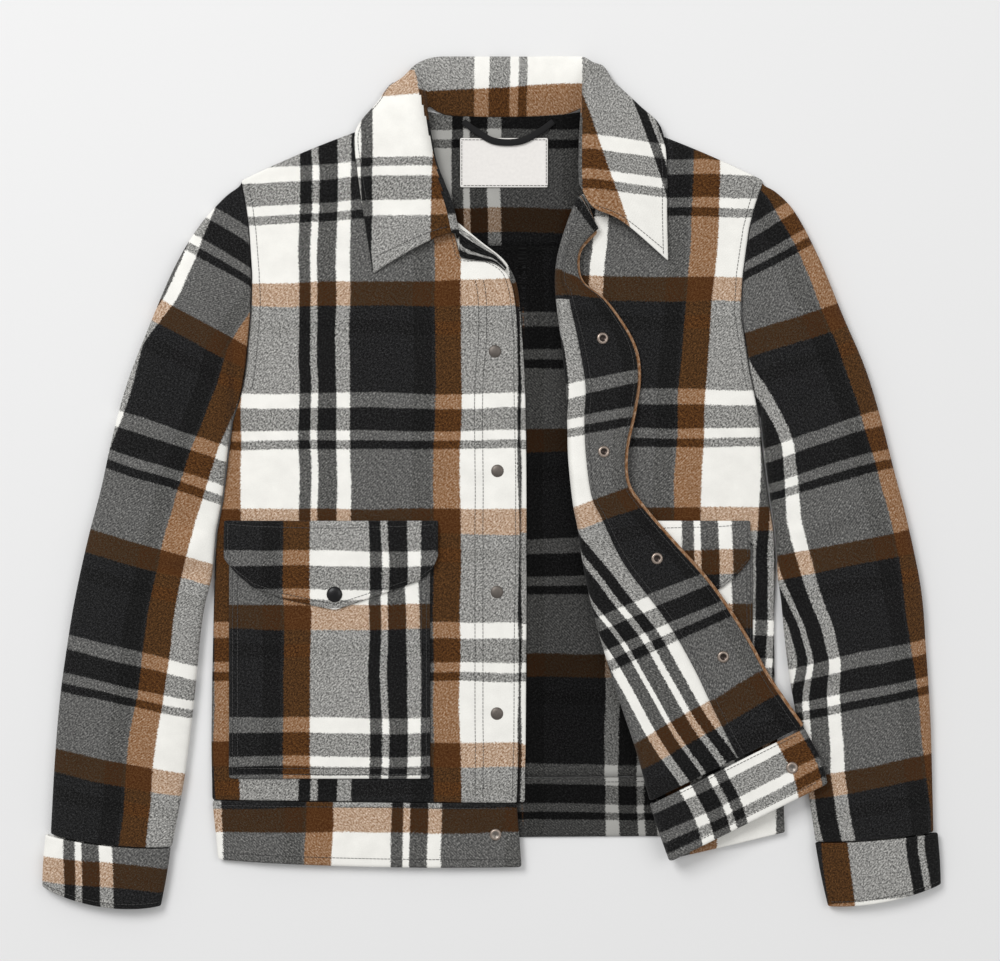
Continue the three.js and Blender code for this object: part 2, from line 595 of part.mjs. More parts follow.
// A place on the left front's middle surface: part 0 to 1 from the side seam to the roll, 1 to 2
// round the roll, 2 to 3 out to the free edge
function foldPoint(row, part) {
  const sideX = bodyLeft(row.y);
  const lowerWay = bearing(row.foldX, row.foldY, sideX, row.y);
  const upperWay = bearing(row.foldX, row.foldY, row.edgeX, row.edgeY);
  const startX = row.foldX + FOLD_REACH * Math.cos(lowerWay);
  const startY = row.foldY + FOLD_REACH * Math.sin(lowerWay);
  const underFold = leftFrontTop(startX, startY) - CLOTH / 2;
  if (part <= 1) {
    const x = mix(sideX, startX, part);
    const y = mix(row.y, startY, part);
    return new THREE.Vector3(x, y, leftFrontTop(x, y) - CLOTH / 2);
  }
  if (part <= 2) {
    const turn = (part - 1) * Math.PI;
    const way = mix(lowerWay, upperWay, part - 1);
    const reach = FOLD_REACH * (1 - Math.sin(turn));
    const x = row.foldX + reach * Math.cos(way);
    const y = row.foldY + reach * Math.sin(way);
    return new THREE.Vector3(x, y, underFold + (row.rise * (1 - Math.cos(turn))) / 2);
  }
  const out = part - 2;
  const width = Math.hypot(row.edgeX - row.foldX, row.edgeY - row.foldY);
  const reach = mix(FOLD_REACH, width, out);
  const edgeHeight = leftFrontTop(row.edgeX, row.edgeY) - CLOTH / 2 + row.lift;
  return new THREE.Vector3(
    row.foldX + reach * Math.cos(upperWay),
    row.foldY + reach * Math.sin(upperWay),
    mix(underFold + row.rise, edgeHeight, ease(out)),
  );
}

const FOLD_PARTS = [
  ...steps(LOWER_COLUMNS),
  ...steps(ROLL_COLUMNS).slice(1).map((t) => 1 + t),
  ...steps(UPPER_COLUMNS).slice(1).map((t) => 2 + t),
];

function foldRows(table, perStep) {
  const count = (table.length - 1) * perStep;
  return steps(count).map((t) => rowAt(table, t * (table.length - 1)));
}

function foldGrid(table, perStep) {
  return foldRows(table, perStep).map((row) => FOLD_PARTS.map((part) => foldPoint(row, part)));
}

function makeLeftFront() {
  const folded = foldGrid(LEFT_FRONT, LEFT_ROWS_PER_STEP);
  const flat = LEFT_NECK.map((row, j) =>
    FOLD_PARTS.map((part) => {
      const u = Math.min(1, part);
      const isShoulder = j === LEFT_NECK.length - 1;
      const x = mix(bodyLeft(row.y), row.edgeX, u);
      const y = isShoulder ? shoulderY(x) : mix(row.y, row.edgeY, u);
      return new THREE.Vector3(x, y, leftFrontTop(x, y) - CLOTH / 2);
    }));
  const keeps = (i, j) => j < folded.length - 1 || i < LOWER_COLUMNS;
  add('front_left', wall([...folded, ...flat], CLOTH, keeps), cloth(0x857b70));
}

function makeLeftBand() {
  const grid = foldGrid(LEFT_BAND, 1);
  grid.forEach((row) => row.forEach((point) => point.setZ(point.z + (BAND - CLOTH) / 2)));
  add('hem_band_left', wall(grid, BAND), cloth(0x97928c));
}

function leftFacingGrid() {
  return foldRows(LEFT_FRONT, LEFT_ROWS_PER_STEP).map((row) =>
    steps(LEFT_FACING_COLUMNS).map((u) => foldPoint(row, 3 - mix(row.facing, FACING_INSET, u))));
}

function makeLeftFacing() {
  add('facing_left', wall(moved(leftFacingGrid(), CLOTH + STACK), CLOTH), cloth(0x4a4542));
}

// Collar

function collarGrid() {
  return steps((COLLAR.length - 1) * COLLAR_ROWS_PER_STEP).map((t) => {
    const row = rowAt(COLLAR, t * (COLLAR.length - 1));
    const turn = Math.min(1, Math.max(0, row.turn));
    const between = (a, b, share) => [mix(a[0], b[0], share), mix(a[1], b[1], share)];
    const stand = between(row.neck, row.roll, mix(1, 0.5, turn));
    const crest = between(row.roll, row.edge, CREST_SHARE * (1 - turn));
    const fall = between(row.roll, row.edge, FALL_SHARE);
    const section = [row.neck, stand, crest, fall, row.edge].map((at, i) => ({ at, z: row.z[i] }));
    return steps(COLLAR_COLUMNS).map((u) => {
      const point = rowAt(section, u * (section.length - 1));
      return new THREE.Vector3(point.at[0], point.at[1], Math.max(point.z, CLOTH / 2));
    });
  });
}

function makeCollar() {
  add('collar', wall(collarGrid(), CLOTH), cloth(0xa39c93));
}

// Sleeves and cuffs

// One flattened ring with a flat underside: inset moves it in from the tube's outer face
function ring(row, inset, planAt) {
  const width = Math.hypot(row.inX - row.outX, row.inY - row.outY);
  return Array.from({ length: RING_POINTS }, (_, k) => {
    const turn = (2 * Math.PI * (k + 0.5)) / RING_POINTS;
    const across = Math.sign(Math.cos(turn)) * Math.abs(Math.cos(turn)) ** RING_FLATNESS.across;
    const round = Math.abs(Math.sin(turn));
    const share = 0.5 + across * (0.5 - inset / width);
    const high = row.height - inset;
    const side = Math.min(high, Math.max(inset, RING_EDGE_HEIGHT * row.height));
    const top = mix(side, high, round ** RING_FLATNESS.top);
    const drop = (side - inset) * RING_FLATNESS.bottomDrop * round ** RING_FLATNESS.bottom;
    const [x, y] = planAt(share);
    return new THREE.Vector3(x, y, Math.sin(turn) > 0 ? top : Math.max(inset, side - drop));
  });
}

function straightPlan(row) {
  const way = bearing(row.outX, row.outY, row.inX, row.inY);
  const towardCuff = row.inX > row.outX ? way - Math.PI / 2 : way + Math.PI / 2;
  return (share) => {
    const bow = 4 * row.bow * share * (1 - share);
    return [
      mix(row.outX, row.inX, share) + bow * Math.cos(towardCuff),
      mix(row.outY, row.inY, share) + bow * Math.sin(towardCuff),
    ];
  };
}

function armholePlan(row, edgeAt, outward) {
  return (share) => {
    const y = mix(row.outY, row.inY, share);
    return [edgeAt(y) + outward * ARMHOLE_GAP, y];
  };
}

function sleeveWall(table, armhole) {
  const rings = (inset) =>
    table.map((row, j) => ring(row, inset, j === 0 && armhole ? armhole(row) : straightPlan(row)));
  return tubeWall(rings(0), rings(armhole ? CLOTH : BAND));
}

// The rows of a sleeve from a row down, starting a seam's width below it
function forearmRows(table, first) {
  const [row, next] = [table[first], table[first + 1]];
  const spacing = Math.hypot(next.outX - row.outX, next.outY - row.outY);
  return [rowAt(table, first + SEAM / spacing), ...table.slice(first + 1)];
}

function makeSleeves() {
  const rightArmhole = (row) => armholePlan(row, bodyRight, -1);
  const leftArmhole = (row) => armholePlan(row, bodyLeft, 1);
  add('sleeve_right', sleeveWall(RIGHT_SLEEVE.slice(0, FOREARM_ROW + 1), rightArmhole), cloth(0x6f675f));
  add('forearm_right', sleeveWall(forearmRows(RIGHT_SLEEVE, FOREARM_ROW), straightPlan), cloth(0x6f675f));
  add('sleeve_left', sleeveWall(LEFT_SLEEVE, leftArmhole), cloth(0x6a625b));
  add('cuff_right', sleeveWall(RIGHT_CUFF), cloth(0x7b6f63));
  add('cuff_left', sleeveWall(LEFT_CUFF), cloth(0x716a63));
}

// Pockets and flaps

// x of the fold's silhouette on the left front at a height y
function foldXAt(y) {
  return lookUp(LEFT_FRONT, 'foldY', 'foldX', y);
}

function makePocket(side) {
  const isLeft = side === 'left';
  const topAt = isLeft ? leftFrontTop : rightFrontTop;
  const grid = steps(POCKET.rows).map((v) =>
    steps(POCKET.columns).map((u) => {
      const y = mix(POCKET.bottomY, POCKET.topY, v);
      const outX = isLeft ? MIRROR_X - POCKET.outX : POCKET.outX;
      const inX = isLeft ? foldXAt(y) + POCKET_CLEAR_OF_FOLD : POCKET.inX;
      const x = mix(outX, inX, u);
      return new THREE.Vector3(x, y, topAt(x, y) + STACK + CLOTH / 2);
    }));
  add(`pocket_${side}`, wall(grid, CLOTH), cloth(isLeft ? 0x7d7770 : 0x89827a));
}

// A flap lies on the front along its seam and steps up onto the pocket below it
function makeFlap(side) {
  const isLeft = side === 'left';
  const topAt = isLeft ? leftFrontTop : rightFrontTop;
  const outX = isLeft ? MIRROR_X - FLAP.outX : FLAP.outX;
  const wholeInX = isLeft ? MIRROR_X - FLAP.inX : FLAP.inX;
  const inX = isLeft ? Math.max(wholeInX, foldXAt(FLAP.topY) + POCKET_CLEAR_OF_FOLD) : wholeInX;
  const rowAtX = (x, v) => {
    const cut = (x - outX) / (wholeInX - outX);
    return mix(FLAP.stepY, lookUp(FLAP_EDGE, 'across', 'y', cut), v);
  };
  const grid = [-1, ...steps(FLAP.rows)].map((v) =>
    steps(FLAP.columns).map((u) => {
      const x = mix(outX, inX, u);
      const atSeam = v < 0;
      const y = atSeam ? FLAP.topY : rowAtX(x, v);
      const under = topAt(x, y) + STACK + (atSeam ? 0 : CLOTH + STACK);
      return new THREE.Vector3(x, y, under + CLOTH / 2);
    }));
  add(`pocket_flap_${side}`, wall(grid, CLOTH), cloth(isLeft ? 0x87817a : 0x6c6862));
}

// Label and hanger loop

function makeLabel() {
  const z = CLOTH + SEAM + LABEL_CLOTH / 2;
  const grid = steps(1).map((v) =>
    steps(2).map((u) =>
      new THREE.Vector3(LABEL.x + (u - 0.5) * LABEL.width, LABEL.y + (v - 0.5) * LABEL.height, z)));
  add('label', wall(grid, LABEL_CLOTH), cloth(0xe8e6e2));
}

function makeLoop() {
  const grid = steps(LOOP_STEPS).map((t) => {
    const place = t * (LOOP.length - 1);
    const here = rowAt(LOOP, place);
    const before = rowAt(LOOP, place - 0.1);
    const after = rowAt(LOOP, place + 0.1);
    const way = bearing(before.x, before.y, after.x, after.y) + Math.PI / 2;
    return [-0.5, 0.5].map((u) =>
      new THREE.Vector3(
        here.x + u * LOOP_WIDTH * Math.cos(way),
        here.y + u * LOOP_WIDTH * Math.sin(way),
        here.z,
      ));
  });
  add('hanger_loop', wall(grid, STRAP_CLOTH), cloth(0x141414));
}

// Snaps

function snapGeometry(profile) {
  const points = profile.map(([radius, height]) => new THREE.Vector2(radius, height));
  return new THREE.LatheGeometry(points, SNAP_SEGMENTS).rotateX(Math.PI / 2);
}

function addSnap(name, profile, material, place, normal) {
  const mesh = add(name, snapGeometry(profile), material);
  mesh.quaternion.setFromUnitVectors(new THREE.Vector3(0, 0, 1), normal);
  mesh.position.copy(place).addScaledVector(normal, STACK);
}

// The place and normal of a grid's upper face nearest to x, y
function nearestOn(grid, x, y, above) {
  const rows = grid.length - 1;
  const columns = grid[0].length - 1;
  const at = (u, v) => {
    const j = Math.min(rows - 1, Math.floor(v));
    const i = Math.min(columns - 1, Math.floor(u));
    const near = grid[j][i].clone().lerp(grid[j][i + 1], u - i);
    const far = grid[j + 1][i].clone().lerp(grid[j + 1][i + 1], u - i);
    return near.lerp(far, v - j);
  };
  let best = { u: 0, v: 0, away: Infinity };
  for (let v = 0; v <= rows; v += SEARCH_STEP) {
    for (let u = 0; u <= columns; u += SEARCH_STEP) {
      const point = at(u, v);
      const away = Math.hypot(point.x - x, point.y - y);
      best = away < best.away ? { u, v, away } : best;
    }
  }
  const u = Math.min(columns - SLOPE_REACH, Math.max(SLOPE_REACH, best.u));
  const v = Math.min(rows - SLOPE_REACH, Math.max(SLOPE_REACH, best.v));
  const across = at(u + SLOPE_REACH, v).sub(at(u - SLOPE_REACH, v));
  const along = at(u, v + SLOPE_REACH).sub(at(u, v - SLOPE_REACH));
  const normal = across.cross(along).normalize();
  return { place: at(best.u, best.v).addScaledVector(normal, above), normal };
}

function makeSnaps() {
  const nickel = () => metal(0x9a9288);
  const dark = () => metal(0x2b2827);
  const up = new THREE.Vector3(0, 0, 1);
  STUDS.forEach(({ x, y }, i) => {
    const onBand = i === STUDS.length - 1;
    const top = rightFrontTop(x, y) + (onBand ? BAND - CLOTH : 0);
    addSnap(`snap_stud_${i + 1}`, STUD, nickel(), new THREE.Vector3(x, y, top), up);
  });
  SOCKETS.forEach(({ x, y }, i) => {
    const onFacing = nearestOn(leftFacingGrid(), x, y, CLOTH * 1.5 + STACK);
    addSnap(`snap_socket_${i + 1}`, SOCKET, nickel(), onFacing.place, onFacing.normal);
  });
  const bandRows = foldRows(LEFT_BAND, 1);
  const bandTop = bandRows.map((row) => steps(UPPER_COLUMNS).map((t) => foldPoint(row, 2 + t)));
  const onBand = nearestOn(bandTop, BAND_SOCKET.x, BAND_SOCKET.y, BAND - CLOTH / 2);
  addSnap(`snap_socket_${SOCKETS.length + 1}`, SOCKET, nickel(), onBand.place, onBand.normal);
  const flapTop = (topAt, x) => topAt(x, FLAP_SNAP.y) + 2 * (STACK + CLOTH);
  ['right', 'left'].forEach((side) => {
    const x = side === 'left' ? MIRROR_X - FLAP_SNAP.x : FLAP_SNAP.x;
    const top = flapTop(side === 'left' ? leftFrontTop : rightFrontTop, x);
    addSnap(`snap_cap_${side}`, CAP, dark(), new THREE.Vector3(x, FLAP_SNAP.y, top), up);
  });
}

makeBack();
makeBackBand();
makeYoke();
makeRightFacing();
makeRightFront();
makeRightBand();
makeLeftFront();
makeLeftFacing();
makeLeftBand();
makeCollar();
makeSleeves();
makePocket('right');
makePocket('left');
makeFlap('right');
makeFlap('left');
makeLabel();
makeLoop();
makeSnaps();

export default group;
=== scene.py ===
# %% [markdown]
# # Plaid wool mackinaw jacket, open on a table
# The jacket is napped wool twill in a brown, black and cream plaid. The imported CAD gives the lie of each
# piece in millimetres, and every cloth piece here is a finer sheet on the same lie.

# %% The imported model
import math
import bmesh
import bpy
from mathutils import Matrix, Vector, noise


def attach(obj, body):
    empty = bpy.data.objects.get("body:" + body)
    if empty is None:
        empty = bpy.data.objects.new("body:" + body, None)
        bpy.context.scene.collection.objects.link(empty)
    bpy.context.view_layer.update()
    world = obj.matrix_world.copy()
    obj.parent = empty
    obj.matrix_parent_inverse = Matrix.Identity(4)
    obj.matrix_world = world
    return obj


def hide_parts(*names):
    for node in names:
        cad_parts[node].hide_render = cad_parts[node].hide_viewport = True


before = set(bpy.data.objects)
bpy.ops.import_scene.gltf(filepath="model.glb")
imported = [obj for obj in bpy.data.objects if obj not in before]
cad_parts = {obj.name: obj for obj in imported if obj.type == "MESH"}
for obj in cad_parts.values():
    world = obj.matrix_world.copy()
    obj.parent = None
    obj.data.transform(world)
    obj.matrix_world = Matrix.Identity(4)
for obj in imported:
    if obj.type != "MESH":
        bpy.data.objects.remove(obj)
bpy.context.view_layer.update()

MM = 0.001

# %% [markdown]
# ## Camera, table and light
# The photograph looks straight down from far off, so a long lens 2.2 m up gives nearly parallel sight
# lines. The picture is 0.92 mm a pixel on the table. The light is soft and nearly even, with a little
# more from the collar's side, so that folds show without hard shadows.

# %% Camera
PIXEL_MM = 0.92
PICTURE_WIDTH = 1000
LENS, SENSOR = 85.0, 36.0
AIM = (6.9, 1.8)
TABLE_TO_LENS = PICTURE_WIDTH * PIXEL_MM / 2 * LENS / (SENSOR / 2)

camera = bpy.data.objects.new("camera", bpy.data.cameras.new("camera"))
camera.data.lens, camera.data.sensor_width = LENS, SENSOR
camera.location = (AIM[0] * MM, AIM[1] * MM, (TABLE_TO_LENS + 5) * MM)
bpy.context.scene.collection.objects.link(camera)
bpy.context.scene.camera = camera
bpy.context.scene.view_settings.view_transform = "Standard"
print("camera height, m:", round(camera.location.z, 3))


# %% Table
def link(name, data):
    thing = bpy.data.objects.new(name, data)
    bpy.context.scene.collection.objects.link(thing)
    return thing


def principled(name, **sockets):
    """A material and its Principled node, with the named sockets set."""
    material = bpy.data.materials.new(name)
    material.use_nodes = True
    shader = material.node_tree.nodes["Principled BSDF"]
    for socket, value in sockets.items():
        shader.inputs[socket.replace("_", " ")].default_value = value
    return material, shader


def pair(a, b, t):
    return a + (b - a) * t


table_mesh = bpy.data.meshes.new("table")
bm = bmesh.new()
bmesh.ops.create_grid(bm, x_segments=2, y_segments=2, size=4.0)
bmesh.ops.translate(bm, verts=bm.verts, vec=(0, 0, -0.0004))
bm.to_mesh(table_mesh)
bm.free()
table = link("table", table_mesh)
paper, _ = principled("paper", Base_Color=(0.80, 0.80, 0.80, 1), Roughness=0.9, Specular_IOR_Level=0.1)
table_mesh.materials.append(paper)

# %% Light
world = bpy.data.worlds.new("studio")
world.use_nodes = True
world.node_tree.nodes["Background"].inputs["Color"].default_value = (1, 1, 1, 1)
world.node_tree.nodes["Background"].inputs["Strength"].default_value = 0.50
bpy.context.scene.world = world

LAMPS = [
    {"at": (-2.2, 2.5, 3.6), "size": 2.2, "watts": 142},
    {"at": (2.8, 1.0, 3.8), "size": 2.8, "watts": 40},
]
for i, lamp in enumerate(LAMPS):
    light = bpy.data.lights.new(f"lamp_{i}", "AREA")
    light.size, light.energy = lamp["size"], lamp["watts"]
    holder = link(f"lamp_{i}", light)
    place = Vector(lamp["at"])
    turn = (-place).to_track_quat("-Z", "Y")
    holder.matrix_world = Matrix.Translation(place) @ turn.to_matrix().to_4x4()

# %% [markdown]
# ## The plaid
# A real plaid is one list of coloured warp yarns crossed by another of weft yarns. Where the two cross
# in different colours the twill shows both, as a salt-and-pepper mix. So the finish is made the same
# way: one ramp of stripes across, one down, and a grain that picks which yarn is on top. The cloth's
# own map counts whole repeats of the plaid, so every piece says only where its stripes fall.

# %% Stripes of one repeat
CREAM = (0.930, 0.924, 0.901)
CHARCOAL = (0.122, 0.122, 0.124)
INK = (0.082, 0.082, 0.082)
BROWN = (0.312, 0.193, 0.089)
REPEAT = (202.4, 211.6)
TWILL_STEP = 2.9
GLOW_IN_CREAM, GLOW_ON_BLACK = (0.31, 0.06, -0.10), (0.50, 0.26, 0.02)
CROSSING_SHADE = (-0.0875, -0.0875, -0.0875)
WARP = [(0.0, BROWN), (0.118, CREAM), (0.386, INK), (0.4386, CREAM), (0.4705, INK), (0.557, CREAM),
        (0.6205, CHARCOAL), (0.9, INK), (0.982, CHARCOAL)]
WEFT = [(0.0, BROWN), (0.104, CHARCOAL), (0.165, INK), (0.226, CHARCOAL), (0.487, CREAM), (0.5535, INK),
        (0.654, CREAM), (0.697, INK), (0.735, CREAM)]


# %% Node helpers
class Nodes:
    """Adds nodes to a tree and links them by value: a number, a colour or another node's output."""

    def __init__(self, tree):
        self.tree = tree

    def put(self, socket, value):
        if isinstance(value, bpy.types.NodeSocket):
            self.tree.links.new(value, socket)
        else:
            socket.default_value = value

    def make(self, kind, inputs=(), **settings):
        node = self.tree.nodes.new("ShaderNode" + kind)
        for key, value in settings.items():
            setattr(node, key, value)
        for key, value in dict(inputs).items():
            self.put(node.inputs[key], value)
        return node

    def math(self, operation, a, b=0.0, c=0.0):
        return self.make("Math", {0: a, 1: b, 2: c}, operation=operation).outputs[0]

    def vector(self, operation, *inputs, scale=None):
        named = dict(enumerate(inputs))
        if scale is not None:
            named["Scale"] = scale
        return self.make("VectorMath", named, operation=operation).outputs[0]

    def noise(self, vector, scale, detail=2.0, roughness=0.5):
        inputs = {"Vector": vector, "Scale": scale, "Detail": detail, "Roughness": roughness}
        return self.make("TexNoise", inputs).outputs["Fac"]

    def swing(self, vector, scale, reach, **settings):
        """Noise about nought, over a reach in all."""
        return self.math("MULTIPLY", self.math("SUBTRACT", self.noise(vector, scale, **settings), 0.5), reach)

    def ramp(self, value, stops, interpolation="CONSTANT"):
        node = self.make("ValToRGB", {"Fac": value})
        node.color_ramp.interpolation = interpolation
        elements = node.color_ramp.elements
        elements[0].position, elements[0].color = stops[0][0], (*stops[0][1], 1)
        elements[1].position, elements[1].color = stops[-1][0], (*stops[-1][1], 1)
        for position, colour in stops[1:-1]:
            elements.new(position).color = (*colour, 1)
        return node.outputs["Color"]

    def mix(self, share, a, b):
        node = self.make("Mix", {"Factor": share}, data_type="RGBA")
        self.put(node.inputs[6], a)
        self.put(node.inputs[7], b)
        return node.outputs[2]


# %% The plaid as a node group
plaid = bpy.data.node_groups.new("plaid", "ShaderNodeTree")
plaid.interface.new_socket("Repeats", in_out="INPUT", socket_type="NodeSocketVector")
plaid.interface.new_socket("Colour", in_out="OUTPUT", socket_type="NodeSocketColor")
plaid.interface.new_socket("Height", in_out="OUTPUT", socket_type="NodeSocketFloat")
n = Nodes(plaid)
repeats = plaid.nodes.new("NodeGroupInput").outputs["Repeats"]
group_out = plaid.nodes.new("NodeGroupOutput")
size = n.vector("MULTIPLY", repeats, (*REPEAT, 1))
across, down, _ = n.make("SeparateXYZ", {0: size}).outputs
stray, fuzz, sway = n.swing(size, 0.55, 3.2), n.swing(size, 1.7, 4.4), n.swing(size, 0.012, 7.0, detail=1.0)
stray = n.math("ADD", stray, n.math("ADD", fuzz, sway))
warp_place = n.math("FRACT", n.math("DIVIDE", n.math("ADD", across, stray), REPEAT[0]))
weft_place = n.math("FRACT", n.math("DIVIDE", n.math("ADD", down, stray), REPEAT[1]))
warp = n.ramp(warp_place, WARP)
weft = n.ramp(weft_place, WEFT)

# Twill ribs run on the slant, three yarns to a step; the nap tears them into slanting specks
rise, run = n.math("ADD", across, down), n.math("SUBTRACT", across, down)
ribs = n.math("MULTIPLY", n.math("SINE", n.math("MULTIPLY", rise, 2 * math.pi / TWILL_STEP)), 0.5)
streaks = {0: n.math("MULTIPLY", rise, 0.47), 1: n.math("MULTIPLY", run, 0.33)}
streaked = n.make("CombineXYZ", streaks).outputs[0]
specks = n.math("SUBTRACT", n.noise(streaked, 1.0, detail=3.0, roughness=0.75), 0.5)
fine = n.math("SUBTRACT", n.noise(size, 1.3, detail=1.0), 0.5)
blend = n.math("MULTIPLY_ADD", specks, 1.7, 0.62)
blend = n.math("MULTIPLY_ADD", ribs, 0.07, blend)
blend = n.make("Clamp", {"Value": n.math("MULTIPLY_ADD", fine, 0.5, blend)}).outputs[0]

# Yarns of two colours shade each other, except that brown glows through cream and over black
gap = n.vector("ABSOLUTE", n.vector("SUBTRACT", warp, weft))
gap_red, _, gap_blue = n.make("SeparateXYZ", {0: gap}).outputs
over_cream = n.math("MAXIMUM", n.math("SUBTRACT", gap_blue, gap_red), 0.0)
over_black = n.math("MAXIMUM", n.math("SUBTRACT", n.math("SUBTRACT", gap_red, gap_blue), 0.03), 0.0)
warm = n.vector("SCALE", GLOW_IN_CREAM, scale=over_cream)
warmer = n.vector("SCALE", GLOW_ON_BLACK, scale=over_black)
warm = n.vector("ADD", warm, warmer)
coded = n.vector("MULTIPLY_ADD", gap, CROSSING_SHADE, n.mix(blend, weft, warp))
coded = n.vector("ADD", coded, warm)

# The dark yarns are flecked with grey, and the whole cloth is a little cloudy
darkness = n.math("SUBTRACT", 0.8, n.make("SeparateXYZ", {0: coded}).outputs[0])
flecks = n.math("MULTIPLY", n.math("ADD", n.math("MULTIPLY", specks, 0.80), n.math("MULTIPLY", fine, 0.48)),
                n.math("MAXIMUM", darkness, 0.0))
cloudy = n.math("MULTIPLY_ADD", n.noise(size, 0.06, detail=3.0), 0.10, 0.95)
cloudy = n.math("MULTIPLY_ADD", fine, 0.10, cloudy)
shaded = n.vector("SCALE", coded, scale=cloudy)
shaded = n.vector("MAXIMUM", n.vector("ADD", shaded, flecks), (0, 0, 0))
n.put(group_out.inputs["Colour"], n.make("Gamma", {"Color": shaded, "Gamma": 2.2}).outputs[0])
fluff = n.noise(size, 0.9, detail=3.0, roughness=0.65)
nap = n.math("MULTIPLY_ADD", fluff, 0.8, n.math("MULTIPLY", ribs, 0.12))
n.put(group_out.inputs["Height"], nap)
print("plaid repeat, mm:", REPEAT)


# %% Wool finishes
def wool(name, shade, sheen):
    """Plaid wool, its colour multiplied by shade, which below one is painted shade, for the side that faces
    the wearer.
    """
    material, shader = principled(name, Roughness=0.95, Specular_IOR_Level=0.12)
    shader.inputs["Sheen Weight"].default_value = sheen
    shader.inputs["Sheen Roughness"].default_value = 0.6
    tree = Nodes(material.node_tree)
    place = tree.make("UVMap", uv_map="cloth").outputs[0]
    use = tree.make("Group", node_tree=plaid)
    tree.put(use.inputs["Repeats"], place)
    colour_with_painted_shade = tree.mix(1.0, use.outputs["Colour"], (shade, shade, shade, 1))
    colour_with_painted_shade.node.blend_type = "MULTIPLY"
    tree.put(shader.inputs["Base Color"], colour_with_painted_shade)
    bump = tree.make("Bump", {"Height": use.outputs["Height"], "Strength": 0.35, "Distance": 0.0006})
    tree.put(shader.inputs["Normal"], bump.outputs[0])
    return material


WOOL = wool("plaid_wool", 1.0, 0.06)
# The inside is the same plaid with painted shade: its colour is darkened for the shadow that the fronts cast
# on it.
WOOL_IN_PAINTED_SHADE = wool("plaid_wool_inside", 0.42, 0.0)

# %% [markdown]
# ## The cut
# These are the CAD's own numbers, in millimetres with +Y toward the collar: outlines of the body and
# fronts, the fold of the left front, the collar's rows and the sleeves' rings. Right and left are the
# wearer's.

# %% Cloth and gaps
CLOTH, BAND, FACING_CLOTH = 2.0, 3.0, 1.8
SEAM, STACK = 0.3, 0.45
FRONT_AT_SEAM, RIGHT_AT_MIDDLE, LEFT_AT_MIDDLE = 2.3, 4.6, 3.9
EASE_FROM_EDGE, BACK_INSET = 50, 0.8
YOKE_SEAM_Y, BACK_BAND_DEPTH, SEAM_ALLOWANCE = 218.5, 55, 1.3
SHOULDER_Y, SHOULDER_BOW = 278, 4.5
NECK_RIGHT, NECK_LEFT = (-63, 343), (86, 341)
NECKLINE = [(-63, 341), (-40, 336.3), (11, 335), (62, 336.8), (86, 341)]
BACK_HEM = [(-262, -343), (-130, -333), (12, -327), (150, -326), (272, -322)]
BODY = [  # y, x of the right edge, x of the left edge
    (-358, -252, 270), (-292, -258, 268), (-242, -259, 262.7), (-190, -258.5, 260), (-130, -257.2, 259.4),
    (-72, -255.8, 260.8), (-45, -253.5, 259), (-16, -247.9, 254.4), (27, -242.9, 248.9), (57, -239, 246.1),
    (81, -231.4, 241.5), (105, -227, 236.4), (157, -222.2, 228.6), (191, -221.3, 230.5), (233, -224, 236.4),
    (254, -226.8, 241.5), (278, -231.4, 249.8),
]

# %% Fronts
RIGHT_FRONT = [  # y at the side, x and y at the opening edge
    (-292.1, 22.5, -294.9), (-264, 23.5, -264), (-250, 24, -251), (-236, 24.4, -237.8), (-180, 24.7, -181),
    (-125, 25, -125), (-76, 25.8, -75), (-35, 25.9, -34), (0, 25.9, 3), (35, 25.2, 38), (65, 24.4, 73),
    (96, 23.9, 105), (122, 23.5, 134), (146, 20.7, 167.9), (160, 17, 184.5), (170, 11, 195.5),
    (178, -4.1, 203.5), (187, -27.1, 205.6), (199, -33.6, 224), (218, -42.3, 255.3), (242, -56.6, 292.1),
    (262, -63, 324.3), (278, -63, 343),
]
RIGHT_BAND_BOTTOM = {"right": (-252.5, -347.3), "left": (27.1, -353.7), "bow": 3}
FACING_WIDTH = 60
RIGHT_FACING = [  # x, y and lean at the outer edge
    (29.9, -294.6, 0), (30.3, -264, 0), (30.6, -250, 0), (30.8, -237.8, 0), (31.7, -69.5, 0), (30.6, 73.1, 0),
    (27.1, 140.3, 2), (23.5, 178.9, 8), (15.7, 198.3, 14), (6.9, 208.8, 22), (-8.7, 220.3, 30),
    (-31, 239, 34),
]
LEFT_FRONT = [  # y at the side, fold x, y, free edge x, y, rise, lift, facing's share, weft repeats
    (-294.9, 144.9, -291.2, 285.7, -222.2, 12, 13, 0.45, 2.233),
    (-250.7, 132.9, -247, 255.3, -178, 12, 10, 0.45, 2.038),
    (-209.3, 118.2, -202.9, 236, -143.1, 12, 8, 0.46, 1.855),
    (-167, 104.4, -158.7, 214.8, -109.9, 12, 9.5, 0.49, 1.678),
    (-134.8, 95.2, -126.5, 194.6, -83.3, 12, 10.5, 0.54, 1.501),
    (-89.7, 85.1, -82.3, 167, -52.9, 13, 10.5, 0.64, 1.299),
    (-46.5, 78.7, -40.9, 138.5, -19.8, 14, 11, 0.7, 1.098),
    (-24.4, 74.5, -18.9, 125.6, 0.5, 14, 12, 0.76, 0.986),
    (10.6, 70.4, 20.7, 124.7, 29.9, 13, 10, 0.8, 0.835),
    (41.9, 69.5, 53.8, 132, 63.9, 11, 5, 0.84, 0.68),
    (75, 68.5, 85.1, 136.6, 98.9, 10, 3.4, 0.82, 0.516),
    (121, 63.9, 129.3, 130.2, 130.2, 10, 3.6, 0.85, 0.32),
    (162.4, 58.9, 169.7, 105.3, 167, 10, 6, 0.86, 0.118),
    (183.5, 58.4, 193.7, 83.3, 184.5, 9, 8, 0.8, 0.01),
    (209.3, 62.1, 215.7, 80.5, 208.4, 8, 7, 0.75, -0.1),
    (227.7, 70.4, 241.5, 89.7, 222.2, 7, 5, 0.75, -0.21),
    (246, 79.5, 264.3, 98.9, 230.5, 7, 4, 0.75, -0.3),
]
